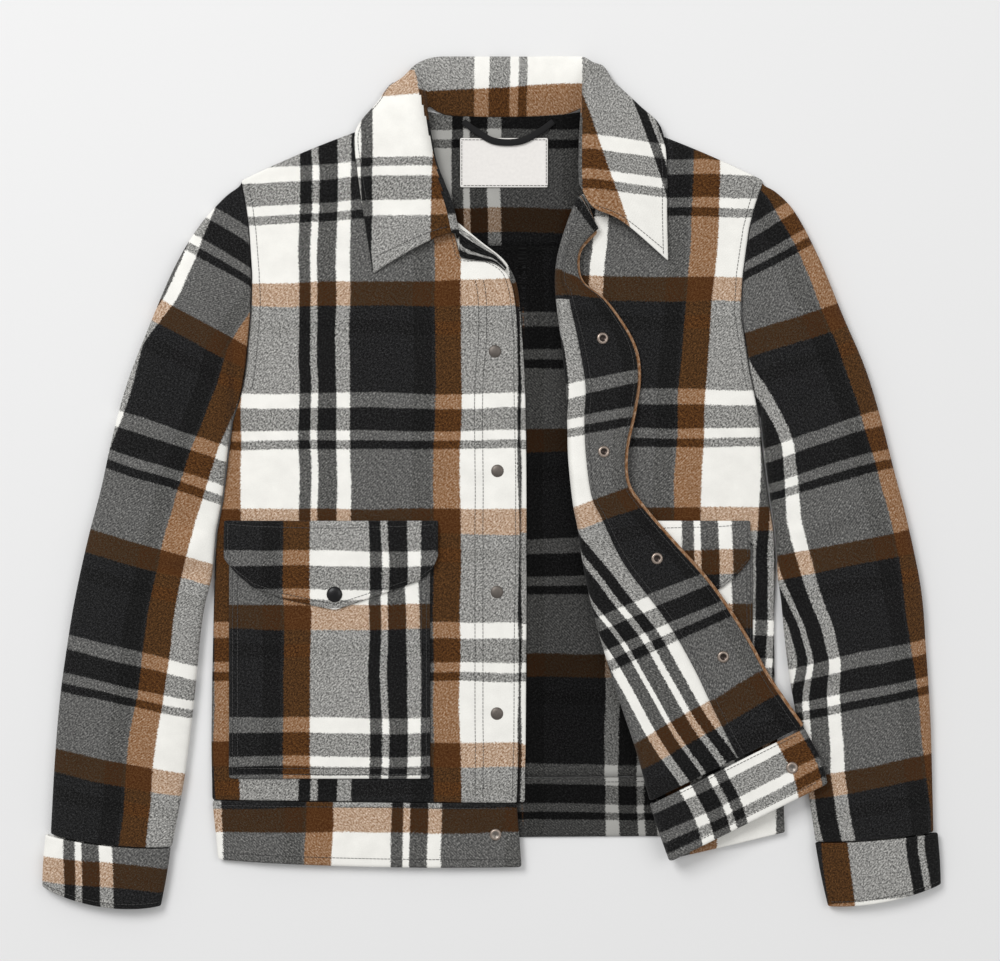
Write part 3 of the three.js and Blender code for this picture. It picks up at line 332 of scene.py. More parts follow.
LEFT_NECK = [(252, 85.8, 272), (259, 86.3, 297), (266, 87, 320), (278, 87, 342)]
LEFT_BAND = [
    (-322, 163.3, -346.4, 306.8, -275.5, 13, 14, 0, -0.265),
    (-311, 155.8, -325.6, 301.5, -255, 13, 14, 0, -0.346),
    (-303, 149.8, -308.2, 292.8, -238, 13, 14, 0, -0.43),
    (-295.4, 145.5, -293.6, 285.6, -224.6, 13, 14, 0, -0.513),
]
FOLD_REACH, EDGE_ROLL = 5, 3.4

# %% Collar
COLLAR = [  # seam, roll, edge, turn, and the heights of seam, stand, crest, fall and edge
    (-32.2, 224, -31.5, 227, -109.9, 190.9, 0, 5.4, 10, 14, 13, 9),
    (-40.8, 255.6, -37.8, 256.6, -119.1, 248.9, 0, 5.2, 11, 17, 13, 8.4),
    (-55, 292.6, -52, 294, -124.7, 289.3, 0, 5, 11, 18, 13, 7.6),
    (-61.3, 325, -58.5, 328.9, -126.5, 322.3, 0, 4.8, 11, 18, 13, 6.8),
    (-59.5, 344.9, -63.7, 359.3, -106.3, 349, 0.15, 4.2, 11, 17, 12, 6.2),
    (-50, 341, -72, 379.5, -88.8, 366.6, 0.5, 1.6, 9, 11, 7, 4),
    (-38, 337.8, -56, 390.5, -50.3, 357, 1, 1.2, 8.4, 4.6, 1, 1),
    (-11, 336.6, -17, 391.5, -14, 350, 1, 1.2, 8, 4.6, 1, 1),
    (34, 336.9, 34, 391.5, 34, 350, 1, 1.2, 8, 4.6, 1, 1),
    (64, 338.6, 66.7, 391.8, 63, 355, 1, 1.2, 8.4, 4.6, 1, 1),
    (76, 341.9, 84, 388, 96, 384, 0.6, 2, 9.5, 12, 8, 4),
    (83, 343.6, 84, 367, 113, 367, 0.1, 4.4, 11, 17, 12, 6.2),
    (84.6, 334, 82, 343.6, 135.5, 346.3, 0, 4.9, 11, 18, 13, 6.6),
    (84.4, 315, 80.5, 318.8, 155.2, 326.1, 0, 5, 11, 18, 13, 7),
    (83.8, 297, 80, 298.5, 160.6, 288.5, 0, 5, 12, 19, 15, 8),
    (83.6, 283, 80, 284, 160.5, 246.1, 0, 5, 13, 20, 18, 9),
    (83.4, 271, 80.8, 273, 161.5, 202.9, 0, 5.2, 13, 20, 18, 10),
]
CREST_SHARE, FALL_SHARE = 0.15, 0.55

# %% Sleeves and cuffs
RIGHT_SLEEVE = [  # outer x, y, inner x, y, bow, height
    (-232.6, 276.6, -239, 66, 0, 7), (-266.3, 240.6, -240.6, 57, -4, 13), (-291.2, 200.1, -243, 45, -3, 16),
    (-315.1, 144.9, -244.4, 31, -2, 17), (-336.3, 89.7, -246.5, 12, 0, 17),
    (-350.1, 39.1, -250.2, -10, 0, 16), (-360.2, -6.9, -255, -34, 0, 15),
    (-372.1, -52.9, -258.4, -75.9, 0, 17),
    (-384.1, -108.1, -267.3, -131.1, 0, 17), (-392.4, -158.7, -271.9, -177.1, 0, 16),
    (-397.9, -200.1, -276.5, -220.3, 0, 15), (-402.5, -255.3, -283.8, -275.5, 2, 15),
    (-406.2, -323, -294.9, -335, 3.5, 15),
]
LEFT_SLEEVE = [
    (250.8, 275.6, 246.2, 62, 0, 7), (275.5, 252.5, 247.9, 52, -4, 13), (299, 209, 250, 38, -3, 16),
    (322, 153.5, 252.8, 20, -2, 17), (341.9, 107, 255.4, 0, 0, 17), (355.8, 63, 258.6, -22, 0, 16),
    (369.4, 10.6, 262, -50, 0, 15), (381.6, -36.7, 263.8, -80, 0, 16), (394.2, -98.9, 266.2, -119.1, 0, 16),
    (398.8, -154.1, 271.9, -170.7, 0, 14), (402.5, -209.3, 280.1, -220.3, 0, 13),
    (404.3, -259.9, 288.4, -271.9, 1, 12), (405.7, -321.4, 297.3, -330.2, 2, 12),
]
RIGHT_CUFF = [(-411.1, -323.4, -295.8, -335.8, 3.5, 15), (-413.2, -348, -299.8, -363, 6, 15),
              (-414.2, -371.2, -305, -389.5, 9, 14)]
LEFT_CUFF = [(409.5, -321.9, 296.7, -331.1, 2, 13), (411.5, -345, 302, -361, 4, 13),
             (412.6, -369.4, 308.7, -390, 5.5, 12)]
RING_EDGE_HEIGHT, ARMHOLE_GAP, SLEEVE_HEAD, SIDE_GAP = 0.4, 0.4, 2.5, 0.9

# %% Pockets, label and loop
POCKET = {"out": -242.5, "in": -57, "top": -55, "bottom": -272.3}
FLAP = {"out": -247, "in": -49.8, "top": -35, "step": -48}
LEFT_OUT = {"pocket": 239.5, "flap": 237}
FLAP_EDGE = [(0, -70), (0.06, -84), (0.14, -97), (0.28, -107), (0.52, -117.5), (0.76, -101), (0.92, -90),
             (0.97, -82), (1, -67.6)]
POCKET_CLEAR_OF_FOLD = 16
LABEL = {"x": 10.6, "y": 294.4, "width": 81, "height": 45.7}
LOOP = [(-27, 332.5, 3.2), (-16, 324, 4.3), (2, 314, 4.6), (26, 314, 4.6), (45, 324, 4.3), (56, 332.5, 3.2)]
LOOP_WIDTH = 5.6
FOLDS = [  # a broad soft ridge: x, y, direction, length, width, height
    (-170, 90, 62, 150, 34, 1.1), (-110, 10, 80, 170, 38, 0.8), (-205, 20, 50, 90, 26, 0.8),
    (-90, 200, 74, 120, 30, 0.8), (190, 110, 108, 150, 32, 1), (205, 10, 96, 120, 28, 0.9),
]

SLEEVE_FOLDS = [  # ridges, and troughs with a height below nought
    (-232, 228, -75, 80, 13, -2.0), (-268, 168, -62, 170, 26, 1.6), (-288, 120, -48, 90, 15, -1.4),
    (-318, 28, 12, 84, 13, -2.0), (-322, 4, -18, 100, 20, 1.6), (-296, -30, -38, 90, 14, -1.5),
    (-352, -130, 82, 170, 26, 1.4), (-318, -190, 74, 150, 16, -1.4), (-352, -262, 64, 110, 18, 1.2),
    (-330, -300, -12, 70, 12, -1.2), (-283, -83, -8, 58, 14, -2.8), (-277, -60, 40, 64, 20, 1.8),
    (246, 214, 70, 80, 13, -2.0), (282, 150, 60, 160, 24, 1.6), (300, 84, 46, 90, 15, -1.5),
    (322, 6, -16, 84, 14, -2.0), (330, -26, 20, 100, 20, 1.6), (300, -58, 36, 90, 14, -1.4),
    (356, -150, -80, 170, 26, 1.4), (326, -204, -72, 150, 16, -1.4), (358, -270, -66, 110, 18, 1.2),
    (340, -302, 10, 70, 12, -1.2), (301, -191, 12, 58, 14, -2.4), (300, -166, -36, 64, 20, 1.6),
]


# %% Curves through the tables
def clamp(t, low=0.0, high=1.0):
    return min(high, max(low, t))


def ease(t):
    s = clamp(t)
    return s * s * (3 - 2 * s)


def row_at(table, place):
    """A table's row at a real place between its rows, every column on a smooth curve."""
    last = len(table) - 1
    at = clamp(place, 0, last)
    i = min(last - 1, int(at))
    t = at - i
    t2, t3 = t * t, t * t * t
    weights = (-t3 / 2 + t2 - t / 2, 1.5 * t3 - 2.5 * t2 + 1, -1.5 * t3 + 2 * t2 + t / 2, t3 / 2 - t2 / 2)
    rows = [table[clamp(k, 0, last)] for k in (i - 1, i, i + 1, i + 2)]
    return [sum(w * v for w, v in zip(weights, column)) for column in zip(*rows)]


def look_up(table, value, column=1):
    """A column at a value of the table's first column, which is in order, on straight pieces."""
    i = 0
    while i < len(table) - 2 and table[i + 1][0] < value:
        i += 1
    t = (value - table[i][0]) / (table[i + 1][0] - table[i][0])
    return pair(table[i][column], table[i + 1][column], clamp(t))


def even_place(table, share, start=0, stop=None):
    """The place in a table at a share of the way from its first row to its last, by its first column."""
    stop = len(table) - 1 if stop is None else stop
    value = pair(table[start][0], table[stop][0], share)
    i = start
    rising = table[stop][0] > table[start][0]
    while i < stop - 1 and (table[i + 1][0] < value) == rising:
        i += 1
    return i + clamp((value - table[i][0]) / (table[i + 1][0] - table[i][0]))


def body_right(y):
    return look_up(BODY, y, 1)


def body_left(y):
    return look_up(BODY, y, 2)


# %% Lie of the fronts
def shoulder_y(x):
    tip = body_right(SHOULDER_Y) if x < 0 else body_left(SHOULDER_Y)
    neck = NECK_RIGHT if x < 0 else NECK_LEFT
    t = clamp((x - tip) / (neck[0] - tip))
    return pair(SHOULDER_Y, neck[1], t) + SHOULDER_BOW * 4 * t * (1 - t)


def soft_folds(x, y, folds=FOLDS):
    total = 0
    for fold_x, fold_y, angle, length, width, height in folds:
        way = math.radians(angle)
        along = (x - fold_x) * math.cos(way) + (y - fold_y) * math.sin(way)
        over = (y - fold_y) * math.cos(way) - (x - fold_x) * math.sin(way)
        total += height * math.exp(-((2 * along / length) ** 2) - (1.6 * over / width) ** 2)
    return total


def band_rise(y):
    return (BAND - CLOTH) * ease((-236 - y) / 28)


def front_top(x, y, side_distance, middle):
    settled = ease((shoulder_y(x) - y) / EASE_FROM_EDGE) * ease(side_distance / EASE_FROM_EDGE)
    uneven = 1 + noise.noise(Vector((x / 34, y / 52, 0)))
    return band_rise(y) + pair(FRONT_AT_SEAM, middle + soft_folds(x, y) + 0.45 * uneven, settled) + CLOTH


def right_top(x, y):
    return front_top(x, y, x - body_right(y), RIGHT_AT_MIDDLE)


def left_top(x, y):
    return front_top(x, y, body_left(y) - x, LEFT_AT_MIDDLE)


# %% [markdown]
# ## Where the stripes fall
# A tailor lays each pattern piece on the plaid, so each piece has its own place in the repeat. These
# tables hold where a brown stripe starts, in the photograph's pixels, and the cloth's map counts
# repeats from there.

# %% Pixels and repeats
ORIGIN_PX, ORIGIN_PY = 492.5, 482.5
WARP_PX, WEFT_PX = 220.0, 230.0


def px(x):
    return x / PIXEL_MM + ORIGIN_PX


def py(y):
    return ORIGIN_PY - y / PIXEL_MM


def warp_from(start, x, repeat=WARP_PX):
    return (px(x) - start) / repeat


def by_place(weave):
    """A map that goes by place alone, in the form that sheet asks for."""
    return lambda u, v, x, y: weave(x, y)


def patch_map(warp_start, weft_start):
    """The map of a patch laid straight on the plaid, from the pixels where its repeats start."""
    return by_place(lambda x, y: (warp_from(warp_start, x), (py(y) - weft_start) / WEFT_PX))


# %% Stripe places

FRONT_WEFT = [(52.6, 0), (282.6, 1), (508.8, 2), (742.7, 3), (972.7, 4)]
LEFT_WEFT = [(47, 0), (277, 1), (507, 2), (737, 3), (967, 4)]
BACK_WEFT = [(202, 0), (428, 1), (654, 2), (880, 3)]
LEFT_BROWN = [(180, 694), (250, 690), (400, 678), (580, 671), (900, 660)]
RIGHT_SLEEVE_BROWN = [(170, 312), (258, 280), (299, 262), (325, 243), (344, 229), (385, 218), (420, 205),
                      (446, 194), (481, 183), (522, 169), (567, 159), (615, 149), (660, 144), (713, 135),
                      (769, 127), (842, 121), (920, 116)]
LEFT_SLEEVE_BROWN = [(180, 752), (202, 772), (252, 798), (301, 815), (340, 832.6), (410, 858.6), (468, 876),
                     (518, 887.5), (558, 897), (620, 903.5), (661, 911), (696, 918), (746, 922), (797, 929),
                     (840, 932), (920, 940)]
LEFT_SLEEVE_CREAM = [(180, 668), (250, 700), (364, 751), (386, 764), (412, 778), (429, 787), (447, 792.5),
                     (518, 800), (545, 806.6), (578, 815), (628, 833), (661, 839.8), (696, 839.3), (772, 843),
                     (840, 853), (920, 862)]
RIGHT_SLEEVE_WEFT = [(60, -1, 0.65), (303, 0, 0.545), (426, 0.487, 0.344), (551, 1, 0.28), (770, 2, 0.194),
                     (990, 3, 0.19)]
LEFT_SLEEVE_WEFT = [(60, -1, -0.65), (204, -0.346, -0.55), (299, 0, -0.33), (419, 0.487, -0.33),
                    (541, 1, -0.206), (654, 1.487, -0.229), (769, 2, -0.19), (990, 3, -0.15)]


def slanted_weft(table, middle, x, y):
    """Repeats on a sleeve, whose weft lines slant: table gives y where a line crosses middle."""
    level = py(y)
    for _ in range(4):
        level = py(y) - look_up(table, level, 2) * (px(x) - middle)
    return look_up(table, level, 1)


def right_front_map(x, y):
    rise = 0.067 * (px(x) - 300) * ease((330 - py(y)) / 150)
    return warp_from(214, x), look_up(FRONT_WEFT, py(y) + rise)


def left_front_map(x, y):
    return warp_from(look_up(LEFT_BROWN, py(y)), x), look_up(LEFT_WEFT, py(y))


def back_map(x, y):
    return 1 - abs(px(x) - 522.5) / WARP_PX, look_up(BACK_WEFT, py(y))


def yoke_map(x, y):
    return warp_from(369, x, 214), (py(y) - 208) / WEFT_PX


# %% [markdown]
# ## Sheets
# Each piece starts as a plain grid. Its points are moved onto the lie of the piece, and the plaid's map
# is written from where they land. Solidify gives the cloth its thickness and one subdivision rounds the
# turned edges, as pressed wool is never sharp.

# %% A sheet from a grid
def sheet(name, cells, place, weave, thick, nodes, finish=None, keep=None, tube=False, smooth=1, zone=None):
    """place(u, v) gives the middle surface in mm, or a tube's outer face, and weave(u, v, x, y) repeats.

    With a zone, weave is a table of such functions and zone(u, v, x, y) at a cell's middle picks one."""
    bm = bmesh.new()
    bmesh.ops.create_grid(bm, x_segments=cells[0], y_segments=cells[1], size=0.5)
    chart = bm.loops.layers.uv.new("cloth")
    shares = {vert: (vert.co.x + 0.5, vert.co.y + 0.5) for vert in bm.verts}
    if keep:
        middles = {face: face.calc_center_median() for face in bm.faces}
        cut = [face for face, at in middles.items() if not keep(at.x + 0.5, at.y + 0.5)]
        bmesh.ops.delete(bm, geom=cut, context="FACES")
    for vert in bm.verts:
        vert.co = Vector(place(*shares[vert])) * MM
    for face in bm.faces:
        middle = face.calc_center_median() / MM
        share = sum((Vector(shares[vert]) for vert in face.verts), Vector((0, 0))) / len(face.verts)
        repeats_at = weave[zone(*share, middle.x, middle.y)] if zone else weave
        for loop in face.loops:
            at = loop.vert.co / MM
            loop[chart].uv = repeats_at(*shares[loop.vert], at.x, at.y)
    if tube:
        bmesh.ops.remove_doubles(bm, verts=bm.verts, dist=1e-6)
        bmesh.ops.recalc_face_normals(bm, faces=bm.faces)
    elif sum(f.normal.z * f.calc_area() for f in bm.faces) < 0:
        bmesh.ops.reverse_faces(bm, faces=bm.faces)
    for face in bm.faces:
        face.smooth = True
    area = sum(f.calc_area() for f in bm.faces)
    mesh = bpy.data.meshes.new(name)
    bm.to_mesh(mesh)
    bm.free()
    piece = link(name, mesh)
    mesh.materials.append(finish or WOOL)
    wall = piece.modifiers.new("wall", "SOLIDIFY")
    wall.thickness, wall.offset = thick * MM, -1.0 if tube else 0.0
    if smooth:
        soft = piece.modifiers.new("soft", "SUBSURF")
        soft.levels = soft.render_levels = smooth
    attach(piece, "root")
    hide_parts(*nodes)
    print(f"{name}: {area:.4f} m2, {len(mesh.polygons)} cells")
    return piece


# %% [markdown]
# ## Back and yoke
# Only the inside of the back shows, in the shade between the fronts, and that shade is painted into its
# colour.

# %% Back
def back_hem_y(x):
    return look_up(BACK_HEM, x)


def back_place(bottom_at, top_at, z):
    def place(u, v):
        near = pair(body_right(0), body_left(0), u)
        y = pair(bottom_at(near), top_at(near), v)
        return pair(body_right(y) + BACK_INSET, body_left(y) - BACK_INSET, u), y, z

    return place


def back_band_top(x):
    return back_hem_y(x) + BACK_BAND_DEPTH


main_back_place = back_place(lambda x: back_band_top(x) + SEAM, lambda x: YOKE_SEAM_Y - SEAM, CLOTH / 2)
back = sheet("back_cloth", (72, 78), main_back_place, by_place(back_map), CLOTH, ["back"], WOOL_IN_PAINTED_SHADE,
             smooth=0)


def back_band_map(u, v, x, y):
    return back_map(x, y)[0], 0.5535 + (py(y) - 785) / 190


back_band_place = back_place(back_hem_y, back_band_top, BAND / 2)
back_band = sheet("hem_band_back_cloth", (72, 8), back_band_place, back_band_map, BAND, ["hem_band_back"],
                  WOOL_IN_PAINTED_SHADE)


# %% Yoke
def yoke_place(u, v):
    right_tip, left_tip = body_right(SHOULDER_Y), body_left(SHOULDER_Y)
    x = pair(right_tip, left_tip, u)
    in_neck = NECK_RIGHT[0] <= x <= NECK_LEFT[0]
    top = look_up(NECKLINE, x) + SEAM_ALLOWANCE if in_neck else shoulder_y(x) - BACK_INSET
    y = pair(YOKE_SEAM_Y - SEAM + 0.05, top, v)
    return pair(body_right(y) + BACK_INSET, body_left(y) - BACK_INSET, u), y, CLOTH / 2


yoke = sheet("back_yoke_cloth", (80, 22), yoke_place, by_place(yoke_map), CLOTH, ["back_yoke"], WOOL_IN_PAINTED_SHADE,
             smooth=0)

# %% [markdown]
# ## Right front
# It lies flat with a few broad swells. The facing inside it peeps out past the opening edge.


# %% Right front
def right_front_place(u, v):
    place = even_place(RIGHT_FRONT, v)
    side_y, edge_x, edge_y = row_at(RIGHT_FRONT, place)
    x = pair(body_right(side_y), edge_x, u)
    at_shoulder = clamp(place - (len(RIGHT_FRONT) - 2))
    y = pair(side_y, edge_y, u) + SHOULDER_BOW * 4 * u * (1 - u) * at_shoulder
    return x, y, right_top(x, y) - CLOTH / 2


front_right = sheet("front_right_cloth", (56, 116), right_front_place, by_place(right_front_map), CLOTH,
                    ["front_right"])


def right_band_place(u, v):
    side_y, edge_x, edge_y = RIGHT_FRONT[0]
    bottom = RIGHT_BAND_BOTTOM
    x = pair(pair(body_right(side_y), edge_x, u), pair(bottom["right"][0], bottom["left"][0], u), v)
    seam_y = pair(side_y, edge_y, u) - SEAM
    hem_y = pair(bottom["right"][1], bottom["left"][1], u) - bottom["bow"] * 4 * u * (1 - u) * v
    y = pair(seam_y, hem_y, v)
    return x, y, right_top(x, y) - CLOTH + BAND / 2


band_right = sheet("hem_band_right_cloth", (56, 12), right_band_place,
                   by_place(lambda x, y: (warp_from(306, x), (832 - py(y)) / WEFT_PX)), BAND,
                   ["hem_band_right"])


def right_facing_place(u, v):
    edge_x, edge_y, lean = row_at(RIGHT_FACING, even_place([(r[1],) for r in RIGHT_FACING], v))
    x, y = edge_x - FACING_WIDTH * (1 - u), edge_y + lean * (1 - u)
    return x, y, FRONT_AT_SEAM + band_rise(y) + FACING_CLOTH / 2


facing_right = sheet("facing_right_cloth", (12, 100), right_facing_place,
                     by_place(lambda x, y: (warp_from(424, x), look_up(FRONT_WEFT, py(y)))),
                     FACING_CLOTH, ["facing_right"])

# %% [markdown]
# ## Left front
# Its opening edge is turned back outwards over a soft roll, so the strip beside the roll is the cloth's
# inside, and the facing sewn to it shows its snaps. The rows of weft run along the turned part.


# %% The fold
FOLD_STARTS = 1.05
EDGE_STRIPE, ROLL_CLOTH = 0.03, 18


def bearing(from_x, from_y, to_x, to_y):
    return math.atan2(to_y - from_y, to_x - from_x)


def turned_width(row):
    return math.hypot(row[3] - row[1], row[4] - row[2])


def fold_point(row, part):
    """Part 0 to 1 is from the side seam to the roll, 1 to 2 round the roll, 2 to 3 out to the edge."""
    side_y, fold_x, fold_y, edge_x, edge_y, rise, lift = row[:7]
    side_x = body_left(side_y)
    lower = bearing(fold_x, fold_y, side_x, side_y)
    upper = bearing(fold_x, fold_y, edge_x, edge_y)
    start_x, start_y = fold_x + FOLD_REACH * math.cos(lower), fold_y + FOLD_REACH * math.sin(lower)
    under = left_top(start_x, start_y) - CLOTH / 2
    if part <= 1:
        x, y = pair(side_x, start_x, part), pair(side_y, start_y, part)
        return x, y, left_top(x, y) - CLOTH / 2
    if part <= 2:
        turn = (part - 1) * math.pi
        way = pair(lower, upper, part - 1)
        reach = FOLD_REACH * (1 - math.sin(turn))
        return (fold_x + reach * math.cos(way), fold_y + reach * math.sin(way),
                under + rise * (1 - math.cos(turn)) / 2)
    reach = pair(FOLD_REACH, turned_width(row), part - 2)
    edge_z = left_top(edge_x, edge_y) - CLOTH / 2 + lift
    return (fold_x + reach * math.cos(upper), fold_y + reach * math.sin(upper),
            pair(under + rise, edge_z, ease(part - 2)))


def fold_map(row, part):
    """Repeats on the turned-back part, counted in from the free edge, where a brown stripe starts."""
    inward = turned_width(row) * (3 - max(part, 2)) + ROLL_CLOTH * (2 - clamp(part, 1, 2))
    return EDGE_STRIPE + inward / REPEAT[0], row[8]


# %% Left front
FOLD_SHARES = [(0, 0), (0.46, 1), (0.66, 2), (1, 3)]
LEFT_SIDE = LEFT_FRONT + [(y,) for y, _, _ in LEFT_NECK]
FOLD_TOP = (LEFT_FRONT[-1][0] - LEFT_FRONT[0][0]) / (LEFT_NECK[-1][0] - LEFT_FRONT[0][0])


def left_front_place(u, v):
    rows = len(LEFT_FRONT) - 1
    part = look_up(FOLD_SHARES, u)
    place = even_place(LEFT_SIDE, v)
    if place <= rows:
        return fold_point(row_at(LEFT_FRONT, place), part)
    i = min(len(LEFT_NECK) - 1, int(place - rows))
    t = place - rows - i
    share = min(1, part)

    def neck_point(k):
        if k == 0:
            return fold_point(LEFT_FRONT[-1], share)[:2]
        side_y, edge_x, edge_y = LEFT_NECK[k - 1]
        bow = SHOULDER_BOW * 4 * share * (1 - share) if k == len(LEFT_NECK) else 0
        return pair(body_left(side_y), edge_x, share), pair(side_y, edge_y, share) + bow

    near, far = neck_point(i), neck_point(min(i + 1, len(LEFT_NECK)))
    x, y = pair(near[0], far[0], t), pair(near[1], far[1], t)
    return x, y, left_top(x, y) - CLOTH / 2


# %% Left front's plaid
LAPEL_FROM_Y, LAPEL_SHIFT = 161.5, 0.62
PLEAT_BELOW_Y, PLEAT_SQUEEZE = -60, 1.4
PLEAT_FROM, PLEAT_TO = 0.53, 0.42  # both in a dark stripe, so that the step between them doesn't show


def left_row(v):
    return row_at(LEFT_FRONT, even_place(LEFT_SIDE, v))


def left_front_map_uv(u, v, x, y):
    part = look_up(FOLD_SHARES, u)
    if part <= FOLD_STARTS or v > FOLD_TOP:
        return left_front_map(x, y)
    return fold_map(left_row(v), part)


def from_free_edge(u, row):
    """Millimetres in from the free edge of the turned part."""
    return (3 - look_up(FOLD_SHARES, u)) * turned_width(row)


def left_front_zone(u, v, x, y):
    row = left_row(v)
    if v < FOLD_TOP and from_free_edge(u, row) < EDGE_ROLL + 1:
        return "edge"
    part = look_up(FOLD_SHARES, u)
    if part < FOLD_STARTS or v > FOLD_TOP:
        return "cloth"
    if row[0] > LAPEL_FROM_Y:
        return "lapel"
    return "pleat" if row[0] < PLEAT_BELOW_Y and fold_map(row, part)[0] > PLEAT_FROM else "cloth"


def pleat_map(u, v, x, y):
    """Low on the roll the cloth is pinched, and narrower stripes show than on the flat of it."""
    across, down = fold_map(left_row(v), look_up(FOLD_SHARES, u))
    return PLEAT_TO + PLEAT_SQUEEZE * (across - PLEAT_FROM), down


def lapel_map(u, v, x, y):
    across, down = left_front_map_uv(u, v, x, y)
    return across + LAPEL_SHIFT, down


def rolled_edge_map(u, v, x, y):
    """Brown warp over cream, which is what shows where the free edge is rolled."""
    return 0.02 + from_free_edge(u, left_row(v)) / REPEAT[0], 0.80 + 0.9 * v % 0.14


LEFT_FRONT_MAPS = {"cloth": left_front_map_uv, "edge": rolled_edge_map, "lapel": lapel_map,
                   "pleat": pleat_map}
front_left = sheet("front_left_cloth", (80, 112), left_front_place, LEFT_FRONT_MAPS, CLOTH, ["front_left"],
                   keep=lambda u, v: v < FOLD_TOP or u < 0.46, zone=left_front_zone)


# %% Left front's hem band
def left_band_place(u, v):
    x, y, z = fold_point(row_at(LEFT_BAND, v * (len(LEFT_BAND) - 1)), look_up(FOLD_SHARES, u))
    return x, y, z + (BAND - CLOTH) / 2


def left_band_map(u, v, x, y):
    part = look_up(FOLD_SHARES, u)
    row = row_at(LEFT_BAND, v * (len(LEFT_BAND) - 1))
    if part <= FOLD_STARTS:
        return warp_from(691, x), (805 - py(y)) / WEFT_PX
    return fold_map(row, part)[0] - 0.06, 0.487 + 0.29 * (1 - v)


band_left = sheet("hem_band_left_cloth", (80, 12), left_band_place, left_band_map, BAND, ["hem_band_left"])


# %% Left facing
def above(surface, u, v, distance):
    """A point moved off a surface along its upward normal."""
    step = 0.01
    here = Vector(surface(u, v))
    over = Vector(surface(min(1, u + step), v)) - Vector(surface(max(0, u - step), v))
    along = Vector(surface(u, min(1, v + step))) - Vector(surface(u, max(0, v - step)))
    normal = over.cross(along).normalized()
    return here + normal * (distance if normal.z > 0 else -distance)


def facing_share(row):
    """The facing's share of the turned width, which grows to all of it by the neck."""
    return max(row[7], 0.97 * ease((row[0] - 140) / 36))


def edge_share(row):
    return EDGE_ROLL / turned_width(row)


def under_facing(u, v):
    row = row_at(LEFT_FRONT, even_place(LEFT_FRONT, v))
    return fold_point(row, 3 - pair(facing_share(row), edge_share(row), u))


def left_facing_place(u, v):
    return above(under_facing, u, v, CLOTH + STACK)


def left_facing_map(u, v, x, y):
    row = row_at(LEFT_FRONT, even_place(LEFT_FRONT, v))
    return 0.995 - turned_width(row) * pair(facing_share(row), edge_share(row), u) / REPEAT[0], row[8]


facing_left = sheet("facing_left_cloth", (20, 100), left_facing_place, left_facing_map, CLOTH,
                    ["facing_left"])

# %% [markdown]
# ## Collar
# The leaf falls on the fronts on both sides and folds under itself behind the neck, with the roll as
# its highest line.


# %% Collar
def collar_row(v):
    return row_at(COLLAR, v * (len(COLLAR) - 1))


def collar_place(u, v):
    neck_x, neck_y, roll_x, roll_y, edge_x, edge_y, turn, *heights = collar_row(v)
    turn = clamp(turn)

    def between(ax, ay, bx, by, share):
        return pair(ax, bx, share), pair(ay, by, share)

    section = [
        (neck_x, neck_y),
        between(neck_x, neck_y, roll_x, roll_y, pair(1, 0.5, turn)),
        between(roll_x, roll_y, edge_x, edge_y, CREST_SHARE * (1 - turn)),
        between(roll_x, roll_y, edge_x, edge_y, FALL_SHARE),
        (edge_x, edge_y),
    ]
    x, y, z = row_at([(*at, z) for at, z in zip(section, heights)], u * (len(section) - 1))
    out = clamp((u - 0.25) / 0.75)
    y += 6.5 * math.sin(math.pi * out) * ease(1 - v * 14)
    y -= 12 * math.exp(-((out - 0.32) / 0.2) ** 2) * ease(1 - (1 - v) * 14)
    return x, y, max(z, CLOTH / 2)


CREAM_FROM = 0.118  # where cream starts in the warp

# The collar is cut across the cloth, so that weft stripes cross its length: y or x in pixels, repeats
BACK_COLLAR_WEFT = [(362.6, 0), (386.6, 0.104), (474.4, 0.487), (489, 0.5535), (509.7, 0.654), (517.6, 0.697),
                    (526.2, 0.735), (583, 1.0), (607, 1.104)]
LEFT_LEAF_WEFT = [(53, 0.104), (141, 0.487), (155.8, 0.5535), (175.4, 0.654), (185.3, 0.697), (194.3, 0.735),
                  (262, 0.995)]


def collar_zone(u, v, x, y):
    if px(x) < 413 + 0.22 * (py(y) - 64):
        return "right leaf"
    return "back" if px(x) < 582.5 else "left leaf"


def right_leaf_map(u, v, x, y):
    return CREAM_FROM + (432 - px(x)) / WARP_PX, (97 - py(y)) / 233


def back_collar_map(u, v, x, y):
    inward = py(y) - 92 + 0.047 * (px(x) - 421)
    return CREAM_FROM - inward / (250 if inward > 0 else WARP_PX), look_up(BACK_COLLAR_WEFT, px(x))


def left_leaf_map(u, v, x, y):
    outward = px(x) - 586.7 - 0.34 * (py(y) - 106.7)
    level = py(y) - 0.09 * (px(x) - 640)
    return CREAM_FROM + outward / (180 if outward > 0 else 290), look_up(LEFT_LEAF_WEFT, level)


COLLAR_MAPS = {"right leaf": right_leaf_map, "back": back_collar_map, "left leaf": left_leaf_map}
collar = sheet("collar_cloth", (26, 150), collar_place, COLLAR_MAPS, CLOTH, ["collar"], zone=collar_zone)


# %% End of the collar stand
STAND_END = [(459, 228, 459.5, 253), (470, 235, 462, 259), (484, 246, 480, 261.5), (496, 255, 494, 263),
             (507, 268, 505, 271)]  # in pixels, on the neck edge and on the seam


def stand_end_place(u, v):
    edge_px, edge_py, seam_px, seam_py = row_at(STAND_END, u * (len(STAND_END) - 1))
    x = (pair(seam_px, edge_px, v) - ORIGIN_PX) * PIXEL_MM
    y = (ORIGIN_PY - pair(seam_py, edge_py, v)) * PIXEL_MM
    return x, y, right_top(x, y) + STACK + 0.6 + 1.1 * math.sin(math.pi * v)


stand_end = sheet("collar_stand_end", (24, 10), stand_end_place,
                  lambda u, v, x, y: (0.386 + 0.225 * v, 0.58 + 0.06 * u), 1.2, ["collar"])

# %% [markdown]
# ## Sleeves and cuffs
# Each is a flattened tube, open at both ends, and its underside lies flat on the table.


